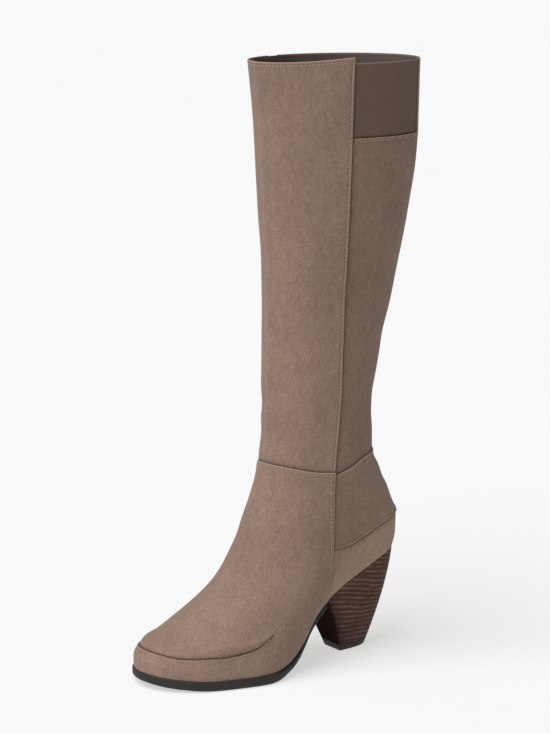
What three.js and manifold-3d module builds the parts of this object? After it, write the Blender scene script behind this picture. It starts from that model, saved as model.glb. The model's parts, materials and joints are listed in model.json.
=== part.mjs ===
// A left knee-high boot on a high stacked block heel: suede upper and shaft, elastic gore, inside zip.
// Millimetres, +Z up, toe towards -Y, the outer (lateral) side towards +X.
// The tables below have their origin on the floor under the heel tip; the whole group is moved at the end
// so that the origin is the middle of the bounding box's bottom face.
import * as THREE from "three";
import { mergeVertices } from "three/addons/utils/BufferGeometryUtils.js";
import Module from "manifold-3d";

const wasm = await Module();
wasm.setup();

// ---------- driving dimensions ----------
const WALL = 2; // suede and lining together
const GAP = 0.3; // between pieces that meet
const SOLE_GAP = 0.5; // between the last's curved bottom and what lies under it
const SHAFT_TOP = 471; // collar height above the floor
const COLLAR_PEAK = 4.5; // how far the front panel's corners rise above the collar
const LEG_HALF_WIDTH = 42; // unit of the leg's width column
const TOE_INFLARE = 14; // how far the toe lies to the inner side of the heel
const INFLARE_START = -50; // the last turns inwards in front of this y
const MEDIAL_DIP = 1.8; // the ankle seam dips more on the inner side
const GORE_BOTTOM = 415;
const GORE_BACK_ANGLE = 136; // degrees round from the toe
const ZIP_HALF_WIDTH = 5.4; // half of what shows between the suede edges
const ZIP_HALF_WIDTH_AT_SOLE = 3;
const ZIP_END_LEVEL = 0.32; // ring level where the zip's opening stops above the sole
const ZIP_END_GAP = 0.04; // the tape starts this much of a level higher
const COIL_HALF_WIDTH = 2.6;
const OUTSOLE_EDGE = 1.8; // how far the outsole stands out past the upper
const INSOLE_THICKNESS = 2.2;
const HEEL_TIP_HEIGHT = 6;
const HEEL_BREAST_Y = -33.5; // front edge of the heel at the seat

// The last's rings, from the sole's edge up to above the collar.
// frontY..backZ: where the ring crosses the front and back; width: scale of the half widths;
// foot: 1 takes the foot's plan, 0 the leg's oval; body: 0 takes the sole's outline, 1 the fuller foot above it;
// sag: how much the ring follows the sole's side profile; dip: how far it drops at the sides.
const RINGS = table(
  ["frontY", "frontZ", "backY", "backZ", "width", "foot", "body", "sag", "dip"],
  [
    [-180.5, 12.5, 43.7, 85, 1, 1, 0, 1, 0], // 0 feather line
    [-180.5, 21, 46.8, 97, 1.01, 1, 0.55, 1, 0], // 1 middle of the toe wall
    [-173.1, 31, 47.2, 111, 1, 1, 0.9, 0.93, 0], // 2 top of the toe wall
    [-159.8, 37, 44.8, 118, 0.98, 0.97, 1, 0.82, 0], // 3 toe
    [-140.3, 49, 41.6, 126, 0.95, 0.85, 1, 0.65, 0], // 4 vamp
    [-115.3, 67, 38.4, 134, 0.92, 0.65, 1, 0.45, 0], // 5 low instep
    [-98.1, 92, 33.4, 143, 0.9, 0.4, 1, 0.25, 0], // 6 instep
    [-86.2, 122, 29.7, 152, 0.89, 0.2, 1, 0.1, 4], // 7 high instep
    [-73.5, 163, 22.5, 166, 0.88, 0, 1, 0, 9], // 8 ankle seam
    [-70, 200, 21.1, 200, 0.88, 0, 1, 0, 4], // 9 leg
    [-68.9, 250, 29.8, 250, 0.95, 0, 1, 0, 0],
    [-68.9, 300, 40.3, 300, 1.06, 0, 1, 0, 0],
    [-70.1, 350, 51.7, 350, 1.18, 0, 1, 0, 0],
    [-73.1, 400, 59.3, 400, 1.28, 0, 1, 0, 0],
    [-76.8, 450, 60.6, 450, 1.335, 0, 1, 0, 0],
    [-81.5, 500, 61.5, 500, 1.395, 0, 1, 0, 0], // 15 above the collar
  ],
);
const ANKLE_LEVEL = 8;
const LEG_LEVEL = 9;
const LEG_LEVEL_Z = 200;
const LEG_RING_STEP = 50;

// Half widths along the foot: share is 0 at the toe and 1 at the back of the heel.
const STATIONS = table(
  ["share", "soleLateral", "soleMedial", "bodyLateral", "bodyMedial"],
  [
    [0, 55, 60, 55, 60],
    [0.12, 53.5, 50, 53.5, 50],
    [0.25, 49, 46, 48.5, 46],
    [0.37, 45.5, 41, 46, 43],
    [0.48, 35, 32, 41.5, 38.5],
    [0.6, 25.2, 22.5, 37, 33.5],
    [0.72, 30.5, 25, 37.5, 34],
    [0.85, 41.5, 36.5, 43.5, 41],
    [1, 57, 54, 58, 56],
  ],
);

// Side profile of the last's bottom, and the outsole's thickness below it.
const SOLE = table(
  ["y", "z", "thickness"],
  [
    [-180.5, 12.5, 6.8],
    [-165, 10, 7.4],
    [-140, 8, 7.5],
    [-100, 8, 7.5],
    [-88, 8.5, 7],
    [-76, 11, 5.6],
    [-66, 16, 4.4],
    [-58, 23, 3.8],
    [-50, 32.5, 3.4],
    [-42, 41.5, 3.2],
    [-34, 50, 3.2],
    [-21.5, 59.5, 3],
    [-8, 67.5, 3],
    [7, 75, 3],
    [20, 80, 3],
    [32, 83, 3],
    [44, 85, 3],
  ],
);

// Where the outer side seam and the middle of the zip lie along the boot, by ring level.
const SIDE_LINES = table(
  ["level", "seamY", "zipY"],
  [
    [0, -33.5, -49],
    [2, -35, -46],
    [4, -36.5, -41],
    [6, -36, -37],
    [8, -34, -33],
    [9.6, -29.5, -29.5],
    [12, -30, -29],
    [15, -31.5, -29],
  ],
);

// The heel tip's outline on the floor.
const TIP = { centreX: -3, halfWidth: 10, breastY: -6, backY: 24, roundness: 2.5 };
const BREAST_HOLLOW = 1.6; // the heel's front face is hollow from side to side

// ---------- tables and curves ----------
function table(columns, rows) {
  return rows.map((row) => Object.fromEntries(columns.map((name, k) => [name, row[k]])));
}

function endSlope(step, nextStep, rise, nextRise) {
  const slope = ((2 * step + nextStep) * rise - step * nextRise) / (step + nextStep);
  if (slope * rise <= 0) return 0;
  if (rise * nextRise <= 0 && Math.abs(slope) > 3 * Math.abs(rise)) return 3 * rise;
  return slope;
}

// A smooth curve through points, which never overshoots them.
function curve(xs, ys) {
  const last = xs.length - 1;
  const steps = xs.slice(1).map((x, k) => x - xs[k]);
  const rises = steps.map((step, k) => (ys[k + 1] - ys[k]) / step);
  const slopes = xs.map((_, k) => {
    if (k === 0) return endSlope(steps[0], steps[1], rises[0], rises[1]);
    if (k === last) return endSlope(steps[k - 1], steps[k - 2], rises[k - 1], rises[k - 2]);
    if (rises[k - 1] * rises[k] <= 0) return 0;
    const before = 2 * steps[k] + steps[k - 1];
    const after = steps[k] + 2 * steps[k - 1];
    return (before + after) / (before / rises[k - 1] + after / rises[k]);
  });
  return (x) => {
    const at = THREE.MathUtils.clamp(x, xs[0], xs[last]);
    let k = 0;
    while (k < last - 1 && at > xs[k + 1]) k += 1;
    const h = steps[k];
    const t = (at - xs[k]) / h;
    const s = 1 - t;
    return (
      (1 + 2 * t) * s * s * ys[k] +
      t * s * s * h * slopes[k] +
      t * t * (3 - 2 * t) * ys[k + 1] -
      t * t * s * h * slopes[k + 1]
    );
  };
}

function columnCurve(rows, key, value) {
  return curve(
    rows.map((row) => row[key]),
    rows.map((row) => row[value]),
  );
}

const levels = RINGS.map((_, k) => k);
const ring = Object.fromEntries(
  Object.keys(RINGS[0]).map((name) => [name, curve(levels, RINGS.map((row) => row[name]))]),
);
const station = Object.fromEntries(
  Object.keys(STATIONS[0]).map((name) => [name, columnCurve(STATIONS, "share", name)]),
);
const soleZ = columnCurve(SOLE, "y", "z");
const soleThickness = columnCurve(SOLE, "y", "thickness");
const seamY = columnCurve(SIDE_LINES, "level", "seamY");
const zipY = columnCurve(SIDE_LINES, "level", "zipY");

// ---------- the last ----------
const { lerp, degToRad } = THREE.MathUtils;
const SIDES = { lateral: ["soleLateral", "bodyLateral"], medial: ["soleMedial", "bodyMedial"] };

function inflare(y) {
  return -TOE_INFLARE * THREE.MathUtils.smoothstep(-y, -INFLARE_START, -RINGS[0].frontY);
}

// A point of the outer surface. angle: 0 toe, 90 degrees lateral, 180 back. level: the ring's number.
function lastPoint(angle, level) {
  const share = (1 - Math.cos(angle)) / 2;
  const across = Math.sin(angle);
  const [sole, body] = across >= 0 ? SIDES.lateral : SIDES.medial;
  const y = lerp(ring.frontY(level), ring.backY(level), share);
  const chord = lerp(RINGS[0].frontZ, RINGS[0].backZ, share);
  const footY = lerp(RINGS[0].frontY, RINGS[0].backY, share);
  const dip = ring.dip(level) * across * across * (across >= 0 ? 1 : MEDIAL_DIP);
  const z = lerp(ring.frontZ(level), ring.backZ(level), share) + ring.sag(level) * (soleZ(footY) - chord) - dip;
  const footWidth = lerp(station[sole](share), station[body](share), ring.body(level));
  const halfWidth = ring.width(level) * lerp(LEG_HALF_WIDTH, footWidth, ring.foot(level));
  return new THREE.Vector3(inflare(y) + across * halfWidth, y, z);
}

function lastSlopes(angle, level) {
  const d = 0.01;
  const low = Math.max(level - d, 0);
  const round = lastPoint(angle + d, level).sub(lastPoint(angle - d, level)).divideScalar(2 * d);
  const up = lastPoint(angle, level + d).sub(lastPoint(angle, low)).divideScalar(level + d - low);
  return { round, up };
}

// A point at a distance outside (+) or inside (-) the outer surface.
function skinPoint(angle, level, distance) {
  const { round, up } = lastSlopes(angle, level);
  const normal = round.cross(up).normalize();
  const point = lastPoint(angle, level).addScaledVector(normal, distance);
  point.z = Math.max(point.z, soleZ(point.y));
  return point;
}

// The angle that lies a distance further round the ring.
function moveRound(angle, level, distance) {
  return angle + distance / lastSlopes(angle, level).round.length();
}

// The angle on the outer side at which a ring passes a given y.
function angleAtY(level, y) {
  const share = (y - ring.frontY(level)) / (ring.backY(level) - ring.frontY(level));
  return Math.acos(1 - 2 * THREE.MathUtils.clamp(share, 0, 1));
}

function legLevel(z) {
  return LEG_LEVEL + (z - LEG_LEVEL_Z) / LEG_RING_STEP;
}

const FULL_TURN = 2 * Math.PI;
const collarLevel = legLevel(SHAFT_TOP);
const goreLevel = legLevel(GORE_BOTTOM);
const goreBack = () => degToRad(GORE_BACK_ANGLE);
const sideSeam = (level) => angleAtY(level, seamY(level));
const zipLine = (level) => FULL_TURN - angleAtY(level, zipY(level));

function zipHalfWidth(level) {
  const open = THREE.MathUtils.smoothstep(level, 0, 2);
  return lerp(ZIP_HALF_WIDTH_AT_SOLE, ZIP_HALF_WIDTH, open);
}

const zipBackEdge = (level) => moveRound(zipLine(level), level, -zipHalfWidth(level));
const zipFrontEdge = (level) => moveRound(zipLine(level), level, zipHalfWidth(level));

// ---------- mesh helpers ----------
function geometryOf(points, triangles) {
  const geometry = new THREE.BufferGeometry();
  geometry.setAttribute("position", new THREE.Float32BufferAttribute(points.flatMap((p) => [p.x, p.y, p.z]), 3));
  geometry.setIndex(triangles);
  return geometry.toNonIndexed();
}

// A wall between two faces of a grid of cells. faces: the outer and the inner point at a column and row;
// a cell left out by keep makes an opening with its own edge walls.
function wall({ columns, rows, wrap, outer, inner, keep = () => true }) {
  const across = wrap ? columns : columns + 1;
  const count = across * (rows + 1);
  const points = [];
  for (const face of [outer, inner])
    for (let row = 0; row <= rows; row += 1)
      for (let column = 0; column < across; column += 1) points.push(face(column, row));
  const at = (column, row, side) => side * count + row * across + (column % across);
  const kept = (column, row) => {
    if (row < 0 || row >= rows) return false;
    if (!wrap && (column < 0 || column >= columns)) return false;
    return keep((column + columns) % columns, row);
  };
  const triangles = [];
  const quad = (a, b, c, d) => triangles.push(a, b, c, a, c, d);
  const edge = (from, to) => quad(at(...to, 0), at(...from, 0), at(...from, 1), at(...to, 1));
  for (let row = 0; row < rows; row += 1)
    for (let column = 0; column < columns; column += 1) {
      if (!kept(column, row)) continue;
      const corners = [[column, row], [column + 1, row], [column + 1, row + 1], [column, row + 1]];
      quad(...corners.map((corner) => at(...corner, 0)));
      quad(...corners.map((corner) => at(...corner, 1)).reverse());
      const neighbours = [[column, row - 1], [column + 1, row], [column, row + 1], [column - 1, row]];
      neighbours.forEach((cell, k) => {
        if (!kept(...cell)) edge(corners[k], corners[(k + 1) % 4]);
      });
    }
  return geometryOf(points, triangles);
}

// Numbers spread evenly between stops; counts gives the steps between each pair.
function spread(stops, counts) {
  const values = [stops[0]];
  counts.forEach((count, k) => {
    for (let i = 1; i <= count; i += 1) values.push(lerp(stops[k], stops[k + 1], i / count));
  });
  return values;
}

// A patch of the boot's skin between two depths.
function skinPatch({ angles, rowLevels, outside, inside, wrap = false, keep }) {
  const columns = angles(rowLevels[0]).length - 1;
  const face = (distance) => (column, row) => {
    const level = rowLevels[row];
    return skinPoint(angles(level)[column], level, distance);
  };
  return wall({ columns, rows: rowLevels.length - 1, wrap, outer: face(outside), inner: face(inside), keep });
}

function solidOf(geometry) {
  const bare = geometry.clone();
  bare.deleteAttribute("normal");
  bare.deleteAttribute("uv");
  const merged = mergeVertices(bare);
  return new wasm.Manifold(
    new wasm.Mesh({
      numProp: 3,
      vertProperties: merged.attributes.position.array,
      triVerts: new Uint32Array(merged.index.array),
    }),
  );
}

function geometryOfSolid(solid) {
  const mesh = solid.getMesh();
  const geometry = new THREE.BufferGeometry();
  geometry.setAttribute("position", new THREE.BufferAttribute(mesh.vertProperties, 3));
  geometry.setIndex(new THREE.BufferAttribute(mesh.triVerts, 1));
  return geometry.toNonIndexed();
}

const boot = new THREE.Group();

function addPiece(parent, name, geometry, { color, roughness, metalness = 0 }) {
  const mesh = new THREE.Mesh(geometry, new THREE.MeshStandardMaterial({ color, roughness, metalness }));
  mesh.name = name;
  parent.add(mesh);
  return mesh;
}

const FINISH = {
  suede: { color: 0x8a7264, roughness: 0.95 },
  elastic: { color: 0x57463b, roughness: 0.9 },
  insole: { color: 0x5c5450, roughness: 0.85 },
  rubber: { color: 0x1c1b1a, roughness: 0.45 },
  stackedLeather: { color: 0x4a322a, roughness: 0.5 },
  tape: { color: 0x3a2a20, roughness: 0.9 },
  coil: { color: 0x5a4434, roughness: 0.6 },
  gunmetal: { color: 0x45454a, roughness: 0.35, metalness: 1 },
};

// ---------- upper and shaft ----------
const COLUMN_COUNTS = [20, 12, 20, 2]; // front panel, gore, back panel, zip
const FRONT_END = COLUMN_COUNTS[0];
const GORE_END = FRONT_END + COLUMN_COUNTS[1];
const BACK_END = GORE_END + COLUMN_COUNTS[2];
const isGoreColumn = (column) => column >= FRONT_END && column < GORE_END;
const isZipColumn = (column) => column >= BACK_END;

function skinAngles(level) {
  const front = zipFrontEdge(level) - FULL_TURN;
  const stops = [front, sideSeam(level), goreBack(), zipBackEdge(level), front + FULL_TURN];
  return spread(stops, COLUMN_COUNTS);
}

const GORE_ROWS = 3;
const ankleGap = GAP / lastSlopes(0, ANKLE_LEVEL).up.length();
const upperLevels = spread([0, ZIP_END_LEVEL, 4, ANKLE_LEVEL - ankleGap], [1, 8, 8]);
const shaftLevels = spread([ANKLE_LEVEL, goreLevel, collarLevel], [12, GORE_ROWS]);

function makeUpper() {
  const keep = (column, row) => !isZipColumn(column) || row < 1;
  return skinPatch({
    angles: skinAngles,
    rowLevels: upperLevels,
    outside: 0,
    inside: -WALL,
    wrap: true,
    keep,
  });
}

// The front panel's top edge rises towards its two back corners.
function collarRise(column) {
  const along = Math.abs(column / FRONT_END - 0.5) * 2;
  return column <= FRONT_END ? COLLAR_PEAK * along * along : 0;
}

function makeShaft() {
  const rows = shaftLevels.length - 1;
  const keep = (column, row) => !isZipColumn(column) && !(isGoreColumn(column) && row >= rows - GORE_ROWS);
  const columns = skinAngles(ANKLE_LEVEL).length - 1;
  const face = (distance) => (column, row) => {
    const rise = row === rows ? collarRise(column) / LEG_RING_STEP : 0;
    const level = shaftLevels[row] + rise;
    return skinPoint(skinAngles(level)[column], level, distance);
  };
  return wall({ columns, rows, wrap: true, outer: face(0), inner: face(-WALL), keep });
}

function makeGore() {
  const gapInLevels = GAP / LEG_RING_STEP;
  const angles = (level) =>
    spread([moveRound(sideSeam(level), level, GAP), moveRound(goreBack(), level, -GAP)], [COLUMN_COUNTS[1]]);
  const rowLevels = spread([goreLevel + gapInLevels, collarLevel], [GORE_ROWS]);
  return skinPatch({ angles, rowLevels, outside: -0.2, inside: -WALL + 0.2 });
}

addPiece(boot, "upper", makeUpper(), FINISH.suede);
addPiece(boot, "shaft", makeShaft(), FINISH.suede);
addPiece(boot, "gore", makeGore(), FINISH.elastic);

// ---------- zip tape and coil ----------
function makeZipStrip(halfWidth, outside, inside) {
  const rowLevels = [ZIP_END_LEVEL + ZIP_END_GAP, ...upperLevels.slice(2), ...shaftLevels];
  const angles = (level) => {
    const middle = zipLine(level);
    const half = halfWidth(level);
    return spread([moveRound(middle, level, -half), moveRound(middle, level, half)], [2]);
  };
  return skinPatch({ angles, rowLevels, outside, inside });
}

const tapeHalfWidth = (level) => zipHalfWidth(level) - 1.5 * GAP;
const coilHalfWidth = (level) => Math.min(COIL_HALF_WIDTH, tapeHalfWidth(level));
const TAPE_DEPTH = { outside: -1.1, inside: -1.8 };
const COIL_DEPTH = { outside: -0.1, inside: -0.8 };
addPiece(boot, "zip_tape", makeZipStrip(tapeHalfWidth, TAPE_DEPTH.outside, TAPE_DEPTH.inside), FINISH.tape);
addPiece(boot, "zip_coil", makeZipStrip(coilHalfWidth, COIL_DEPTH.outside, COIL_DEPTH.inside), FINISH.coil);

// ---------- outsole and insole ----------
// A slab under or inside the last. Its outline is the feather line moved outwards; columns run from the
// inner to the outer side, rows from the toe to the back or to where the slab is cut off.
const SLAB_COLUMNS = 6;

function outlinePoint(angle, outwards) {
  const { round } = lastSlopes(angle, 0);
  const normal = new THREE.Vector3(round.y, -round.x, 0).normalize();
  return lastPoint(angle, 0).addScaledVector(normal, outwards);
}

function makeSlab({ outwards, rows, endAngle, top, bottom }) {
  const rowAngles = Array.from({ length: rows + 1 }, (_, k) => (endAngle * k) / rows);
  const face = (height) => (column, row) => {
    const outer = outlinePoint(rowAngles[row], outwards);
    const inner = outlinePoint(-rowAngles[row], outwards);
    const point = inner.lerp(outer, column / SLAB_COLUMNS);
    point.z = height(point.y);
    return point;
  };
  // Rows run from the toe backwards, so the face that looks up is the grid's inner one.
  return wall({ columns: SLAB_COLUMNS, rows, wrap: false, outer: face(top), inner: face(bottom) });
}

const outsoleTop = (y) => soleZ(y) - SOLE_GAP;
function outsoleBottom(y) {
  const slope = (soleZ(y + 1) - soleZ(y - 1)) / 2;
  return outsoleTop(y) - soleThickness(y) * Math.hypot(1, slope);
}

const outsoleEnd = angleAtY(0, HEEL_BREAST_Y - GAP);
addPiece(
  boot,
  "outsole",
  makeSlab({ outwards: OUTSOLE_EDGE, rows: 44, endAngle: outsoleEnd, top: outsoleTop, bottom: outsoleBottom }),
  FINISH.rubber,
);
addPiece(
  boot,
  "insole",
  makeSlab({
    outwards: -WALL - 3 * GAP,
    rows: 40,
    endAngle: Math.PI,
    top: (y) => soleZ(y) + INSOLE_THICKNESS,
    bottom: soleZ,
  }),
  FINISH.insole,
);

// ---------- heel ----------
// The heel's outline runs from the outer end of its front face round the back to the inner end, then
// across the front face. turn is 0 to 1 round the back; cross is 0 to 1 over the front face.
const HEEL_ROUND_COLUMNS = 24;
const HEEL_FRONT_COLUMNS = 6;
const HEEL_COLUMNS = HEEL_ROUND_COLUMNS + HEEL_FRONT_COLUMNS;
const heelStart = angleAtY(0, HEEL_BREAST_Y);

function tipOutline(turn) {
  const angle = Math.PI * turn;
  const power = 2 / TIP.roundness;
  const across = Math.sign(Math.cos(angle)) * Math.abs(Math.cos(angle)) ** power;
  const back = Math.sin(angle) ** power;
  return new THREE.Vector3(TIP.centreX + TIP.halfWidth * across, lerp(TIP.breastY, TIP.backY, back), 0);
}

function seatOutline(turn) {
  const point = outlinePoint(lerp(heelStart, FULL_TURN - heelStart, turn), 0);
  point.z = soleZ(point.y) - SOLE_GAP;
  return point;
}

function heelPoint(column, height) {
  const onFront = column > HEEL_ROUND_COLUMNS;
  const cross = onFront ? (column - HEEL_ROUND_COLUMNS) / HEEL_FRONT_COLUMNS : 0;
  const turn = onFront ? 1 : column / HEEL_ROUND_COLUMNS;
  const seat = seatOutline(turn).lerp(seatOutline(0), cross);
  const tip = tipOutline(turn).lerp(tipOutline(0), cross);
  const share = height === "seat" ? 1 : THREE.MathUtils.clamp(height / seat.z, 0, 1);
  const frontFlare = share * (0.75 + 0.25 * share * share);
  const backFlare = 1 - (1 - share) ** 1.75;
  const flare = lerp(frontFlare, backFlare, Math.sin(Math.PI * turn) ** 0.8);
  const point = tip.lerp(seat, flare);
  point.y += BREAST_HOLLOW * Math.sin(Math.PI * cross) * Math.sin(Math.PI * Math.min(share, 0.5));
  point.z = height === "seat" ? soleZ(point.y) - SOLE_GAP : share * seat.z;
  return point;
}

// A block between rings of heel points, closed by caps whose cells run straight across.
function heelBlock(heights) {
  const points = heights.flatMap((height) =>
    Array.from({ length: HEEL_COLUMNS }, (_, column) => heelPoint(column, height)),
  );
  const triangles = [];
  const quad = (a, b, c, d) => triangles.push(a, b, c, a, c, d);
  for (let row = 0; row < heights.length - 1; row += 1)
    for (let column = 0; column < HEEL_COLUMNS; column += 1) {
      const next = (column + 1) % HEEL_COLUMNS;
      const base = row * HEEL_COLUMNS;
      const above = base + HEEL_COLUMNS;
      quad(base + column, base + next, above + next, above + column);
    }
  const capEnd = HEEL_ROUND_COLUMNS / 2;
  const cap = (base, upwards) => {
    const add = (a, b, c) => triangles.push(...(upwards ? [a, b, c] : [a, c, b]));
    for (let k = 0; k < capEnd; k += 1) {
      const [a, b] = [base + k, base + k + 1];
      const [c, d] = [base + HEEL_ROUND_COLUMNS - k - 1, base + HEEL_ROUND_COLUMNS - k];
      add(a, b, d);
      if (k < capEnd - 1) add(b, c, d);
    }
    for (let k = 0; k < HEEL_FRONT_COLUMNS - 1; k += 1)
      add(base, base + HEEL_ROUND_COLUMNS + k, base + HEEL_ROUND_COLUMNS + k + 1);
  };
  cap(0, false);
  cap((heights.length - 1) * HEEL_COLUMNS, true);
  return geometryOf(points, triangles);
}

addPiece(boot, "heel", heelBlock([HEEL_TIP_HEIGHT, 14, 23, 33, 43, 50, 60, "seat"]), FINISH.stackedLeather);
addPiece(boot, "heel_tip", heelBlock([0, HEEL_TIP_HEIGHT - GAP]), FINISH.rubber);

// ---------- zip slider and pull ----------
// Local frame of the slider: x out of the leg, y across the zip, z up along it; its origin lies on the
// leg's outer surface at the pull's axis.
const SLIDER_Z = 462;
const SLIDER = { length: 14, topWidth: 9.4, bottomWidth: 6.4, face: 0.3, thickness: 1.4 };
const CROWN = { halfLength: 3.4, halfWidth: 0.9, wire: 1, clear: 2.3 };
const PULL = { axisX: 2.9, barRadius: 0.6, armY: 2.1, armWidth: 1.2, neck: 6.2, length: 20.5, width: 12.6 };

const sliderLevel = legLevel(SLIDER_Z);
const sliderAngle = zipLine(sliderLevel);
const { round, up } = lastSlopes(sliderAngle, sliderLevel);
const slider = new THREE.Group();
slider.position.copy(lastPoint(sliderAngle, sliderLevel));
slider.rotation.z = Math.atan2(-round.x, round.y);
boot.add(slider);

// Turns a flat outline's own axes and its depth to the given axes.
const AXES = {
  x: new THREE.Vector3(1, 0, 0),
  y: new THREE.Vector3(0, 1, 0),
  z: new THREE.Vector3(0, 0, 1),
};
function extrude(shape, depth, [right, up, through]) {
  const geometry = new THREE.ExtrudeGeometry(shape, { depth, bevelEnabled: false, curveSegments: 6 });
  return geometry.applyMatrix4(new THREE.Matrix4().makeBasis(AXES[right], AXES[up], AXES[through]));
}

function makeSlider() {
  const { length, topWidth, bottomWidth, face, thickness } = SLIDER;
  const half = length / 2;
  const body = new THREE.Shape();
  body.moveTo(-bottomWidth / 2, -half);
  body.lineTo(bottomWidth / 2, -half);
  body.lineTo(topWidth / 2, half - 4);
  body.quadraticCurveTo(topWidth / 2, half, topWidth / 4, half);
  body.lineTo(-topWidth / 4, half);
  body.quadraticCurveTo(-topWidth / 2, half, -topWidth / 2, half - 4);
  const { halfLength, halfWidth, wire, clear } = CROWN;
  const arch = new THREE.Shape();
  const rise = clear + wire;
  arch.moveTo(-halfLength - 1, -0.5);
  arch.bezierCurveTo(-halfLength - 1, rise * 0.7, -halfLength, rise, -halfLength / 2, rise);
  arch.lineTo(halfLength / 2, rise);
  arch.bezierCurveTo(halfLength, rise, halfLength + 1, rise * 0.7, halfLength + 1, -0.5);
  arch.lineTo(halfLength, -0.5);
  arch.bezierCurveTo(halfLength, clear * 0.8, halfLength * 0.8, clear, halfLength / 2, clear);
  arch.lineTo(-halfLength / 2, clear);
  arch.bezierCurveTo(-halfLength * 0.8, clear, -halfLength, clear * 0.8, -halfLength, -0.5);
  const crown = extrude(arch, 2 * halfWidth, ["z", "x", "y"]).translate(face + thickness, -halfWidth, 0);
  const plate = extrude(body, thickness, ["y", "z", "x"]).translate(face, 0, 0);
  return geometryOfSolid(solidOf(plate).add(solidOf(crown)));
}

// The pull hangs straight down from its axis: a bar, two arms and an oval tab.
function makePull() {
  const { barRadius, armY, armWidth, neck, length, width } = PULL;
  const tab = new THREE.Shape();
  const outerY = armY + armWidth / 2;
  tab.moveTo(-outerY, barRadius);
  tab.lineTo(outerY, barRadius);
  tab.lineTo(outerY, -neck + 2);
  tab.bezierCurveTo(width / 2, -neck, width / 2, -length, 0, -length);
  tab.bezierCurveTo(-width / 2, -length, -width / 2, -neck, -outerY, -neck + 2);
  const window = new THREE.Path();
  const innerY = armY - armWidth / 2;
  window.moveTo(-innerY, -barRadius);
  window.lineTo(-innerY, -neck + 1);
  window.lineTo(innerY, -neck + 1);
  window.lineTo(innerY, -barRadius);
  tab.holes.push(window);
  return extrude(tab, 2 * barRadius, ["y", "z", "x"]).translate(-barRadius, 0, 0);
}

// The slider leans with the leg; the pull hangs plumb.
const outwards = round.clone().cross(up).setZ(0).normalize();
addPiece(slider, "zip_slider", makeSlider(), FINISH.gunmetal).rotation.y = Math.atan2(up.dot(outwards), up.z);
addPiece(slider, "zip_pull", makePull(), FINISH.gunmetal).position.x = PULL.axisX;

// ---------- the shared frame ----------
const box = new THREE.Box3().setFromObject(boot, true);
const centre = box.getCenter(new THREE.Vector3());
boot.position.set(-centre.x, -centre.y, -box.min.z);

export default boot;
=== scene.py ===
# A left knee-high suede boot on a stacked heel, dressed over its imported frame.
# Sizes in the settings are millimetres; place() turns points of the last into metres in the frame's axes.
import json
import math

import bpy
import numpy as np
from mathutils import Matrix, Vector, kdtree

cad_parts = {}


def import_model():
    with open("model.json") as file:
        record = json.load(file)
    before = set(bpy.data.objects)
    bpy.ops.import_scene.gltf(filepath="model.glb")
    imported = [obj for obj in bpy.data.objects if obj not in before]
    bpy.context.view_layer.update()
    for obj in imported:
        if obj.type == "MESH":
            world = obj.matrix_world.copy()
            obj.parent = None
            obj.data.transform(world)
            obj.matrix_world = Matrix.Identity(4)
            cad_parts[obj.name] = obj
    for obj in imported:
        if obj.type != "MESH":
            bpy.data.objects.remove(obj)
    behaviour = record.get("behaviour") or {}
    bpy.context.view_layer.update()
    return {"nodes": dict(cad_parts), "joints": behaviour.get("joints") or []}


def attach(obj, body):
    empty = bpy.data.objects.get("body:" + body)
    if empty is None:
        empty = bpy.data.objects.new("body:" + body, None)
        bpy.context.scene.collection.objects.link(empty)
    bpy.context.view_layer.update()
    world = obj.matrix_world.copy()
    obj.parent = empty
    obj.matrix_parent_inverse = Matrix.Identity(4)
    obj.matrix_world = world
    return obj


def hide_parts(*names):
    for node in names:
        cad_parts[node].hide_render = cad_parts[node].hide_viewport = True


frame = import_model()
nodes = frame["nodes"]
mm = 0.001
fullTurn = 2 * math.pi
bpy.ops.object.select_all(action="DESELECT")
print("frame loaded")


# smooth curves through short tables
def endSlope(step, nextStep, rise, nextRise):
    slope = ((2 * step + nextStep) * rise - step * nextRise) / (step + nextStep)
    if slope * rise <= 0:
        return 0.0
    if rise * nextRise <= 0 and abs(slope) > 3 * abs(rise):
        return 3 * rise
    return slope


def smoothCurve(xs, ys):
    xs = np.array(xs, float)
    ys = np.array(ys, float)
    steps = np.diff(xs)
    rises = np.diff(ys) / steps
    slopes = np.zeros(len(xs))
    before = 2 * steps[1:] + steps[:-1]
    after = steps[1:] + 2 * steps[:-1]
    rising = rises[:-1] * rises[1:] > 0
    safe = np.where(rising, rises[:-1], 1), np.where(rising, rises[1:], 1)
    slopes[1:-1] = np.where(rising, (before + after) / (before / safe[0] + after / safe[1]), 0)
    slopes[0] = endSlope(steps[0], steps[1], rises[0], rises[1])
    slopes[-1] = endSlope(steps[-1], steps[-2], rises[-1], rises[-2])

    def at(x):
        x = np.clip(x, xs[0], xs[-1])
        k = np.clip(np.searchsorted(xs, x, side="right") - 1, 0, len(steps) - 1)
        h = steps[k]
        t = (x - xs[k]) / h
        s = 1 - t
        return (
            (1 + 2 * t) * s * s * ys[k]
            + t * s * s * h * slopes[k]
            + t * t * (3 - 2 * t) * ys[k + 1]
            - t * t * s * h * slopes[k + 1]
        )

    return at


def curvesOf(columns, rows):
    table = np.array(rows, float)
    return {name: smoothCurve(table[:, 0], table[:, k]) for k, name in enumerate(columns)}


def smoothStep(x, low, high):
    t = np.clip((x - low) / (high - low), 0, 1)
    return t * t * (3 - 2 * t)


def mixed(a, b, share):
    return a + (b - a) * share


def fade(distance, reach):
    return np.exp(-((distance / reach) ** 2))


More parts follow.
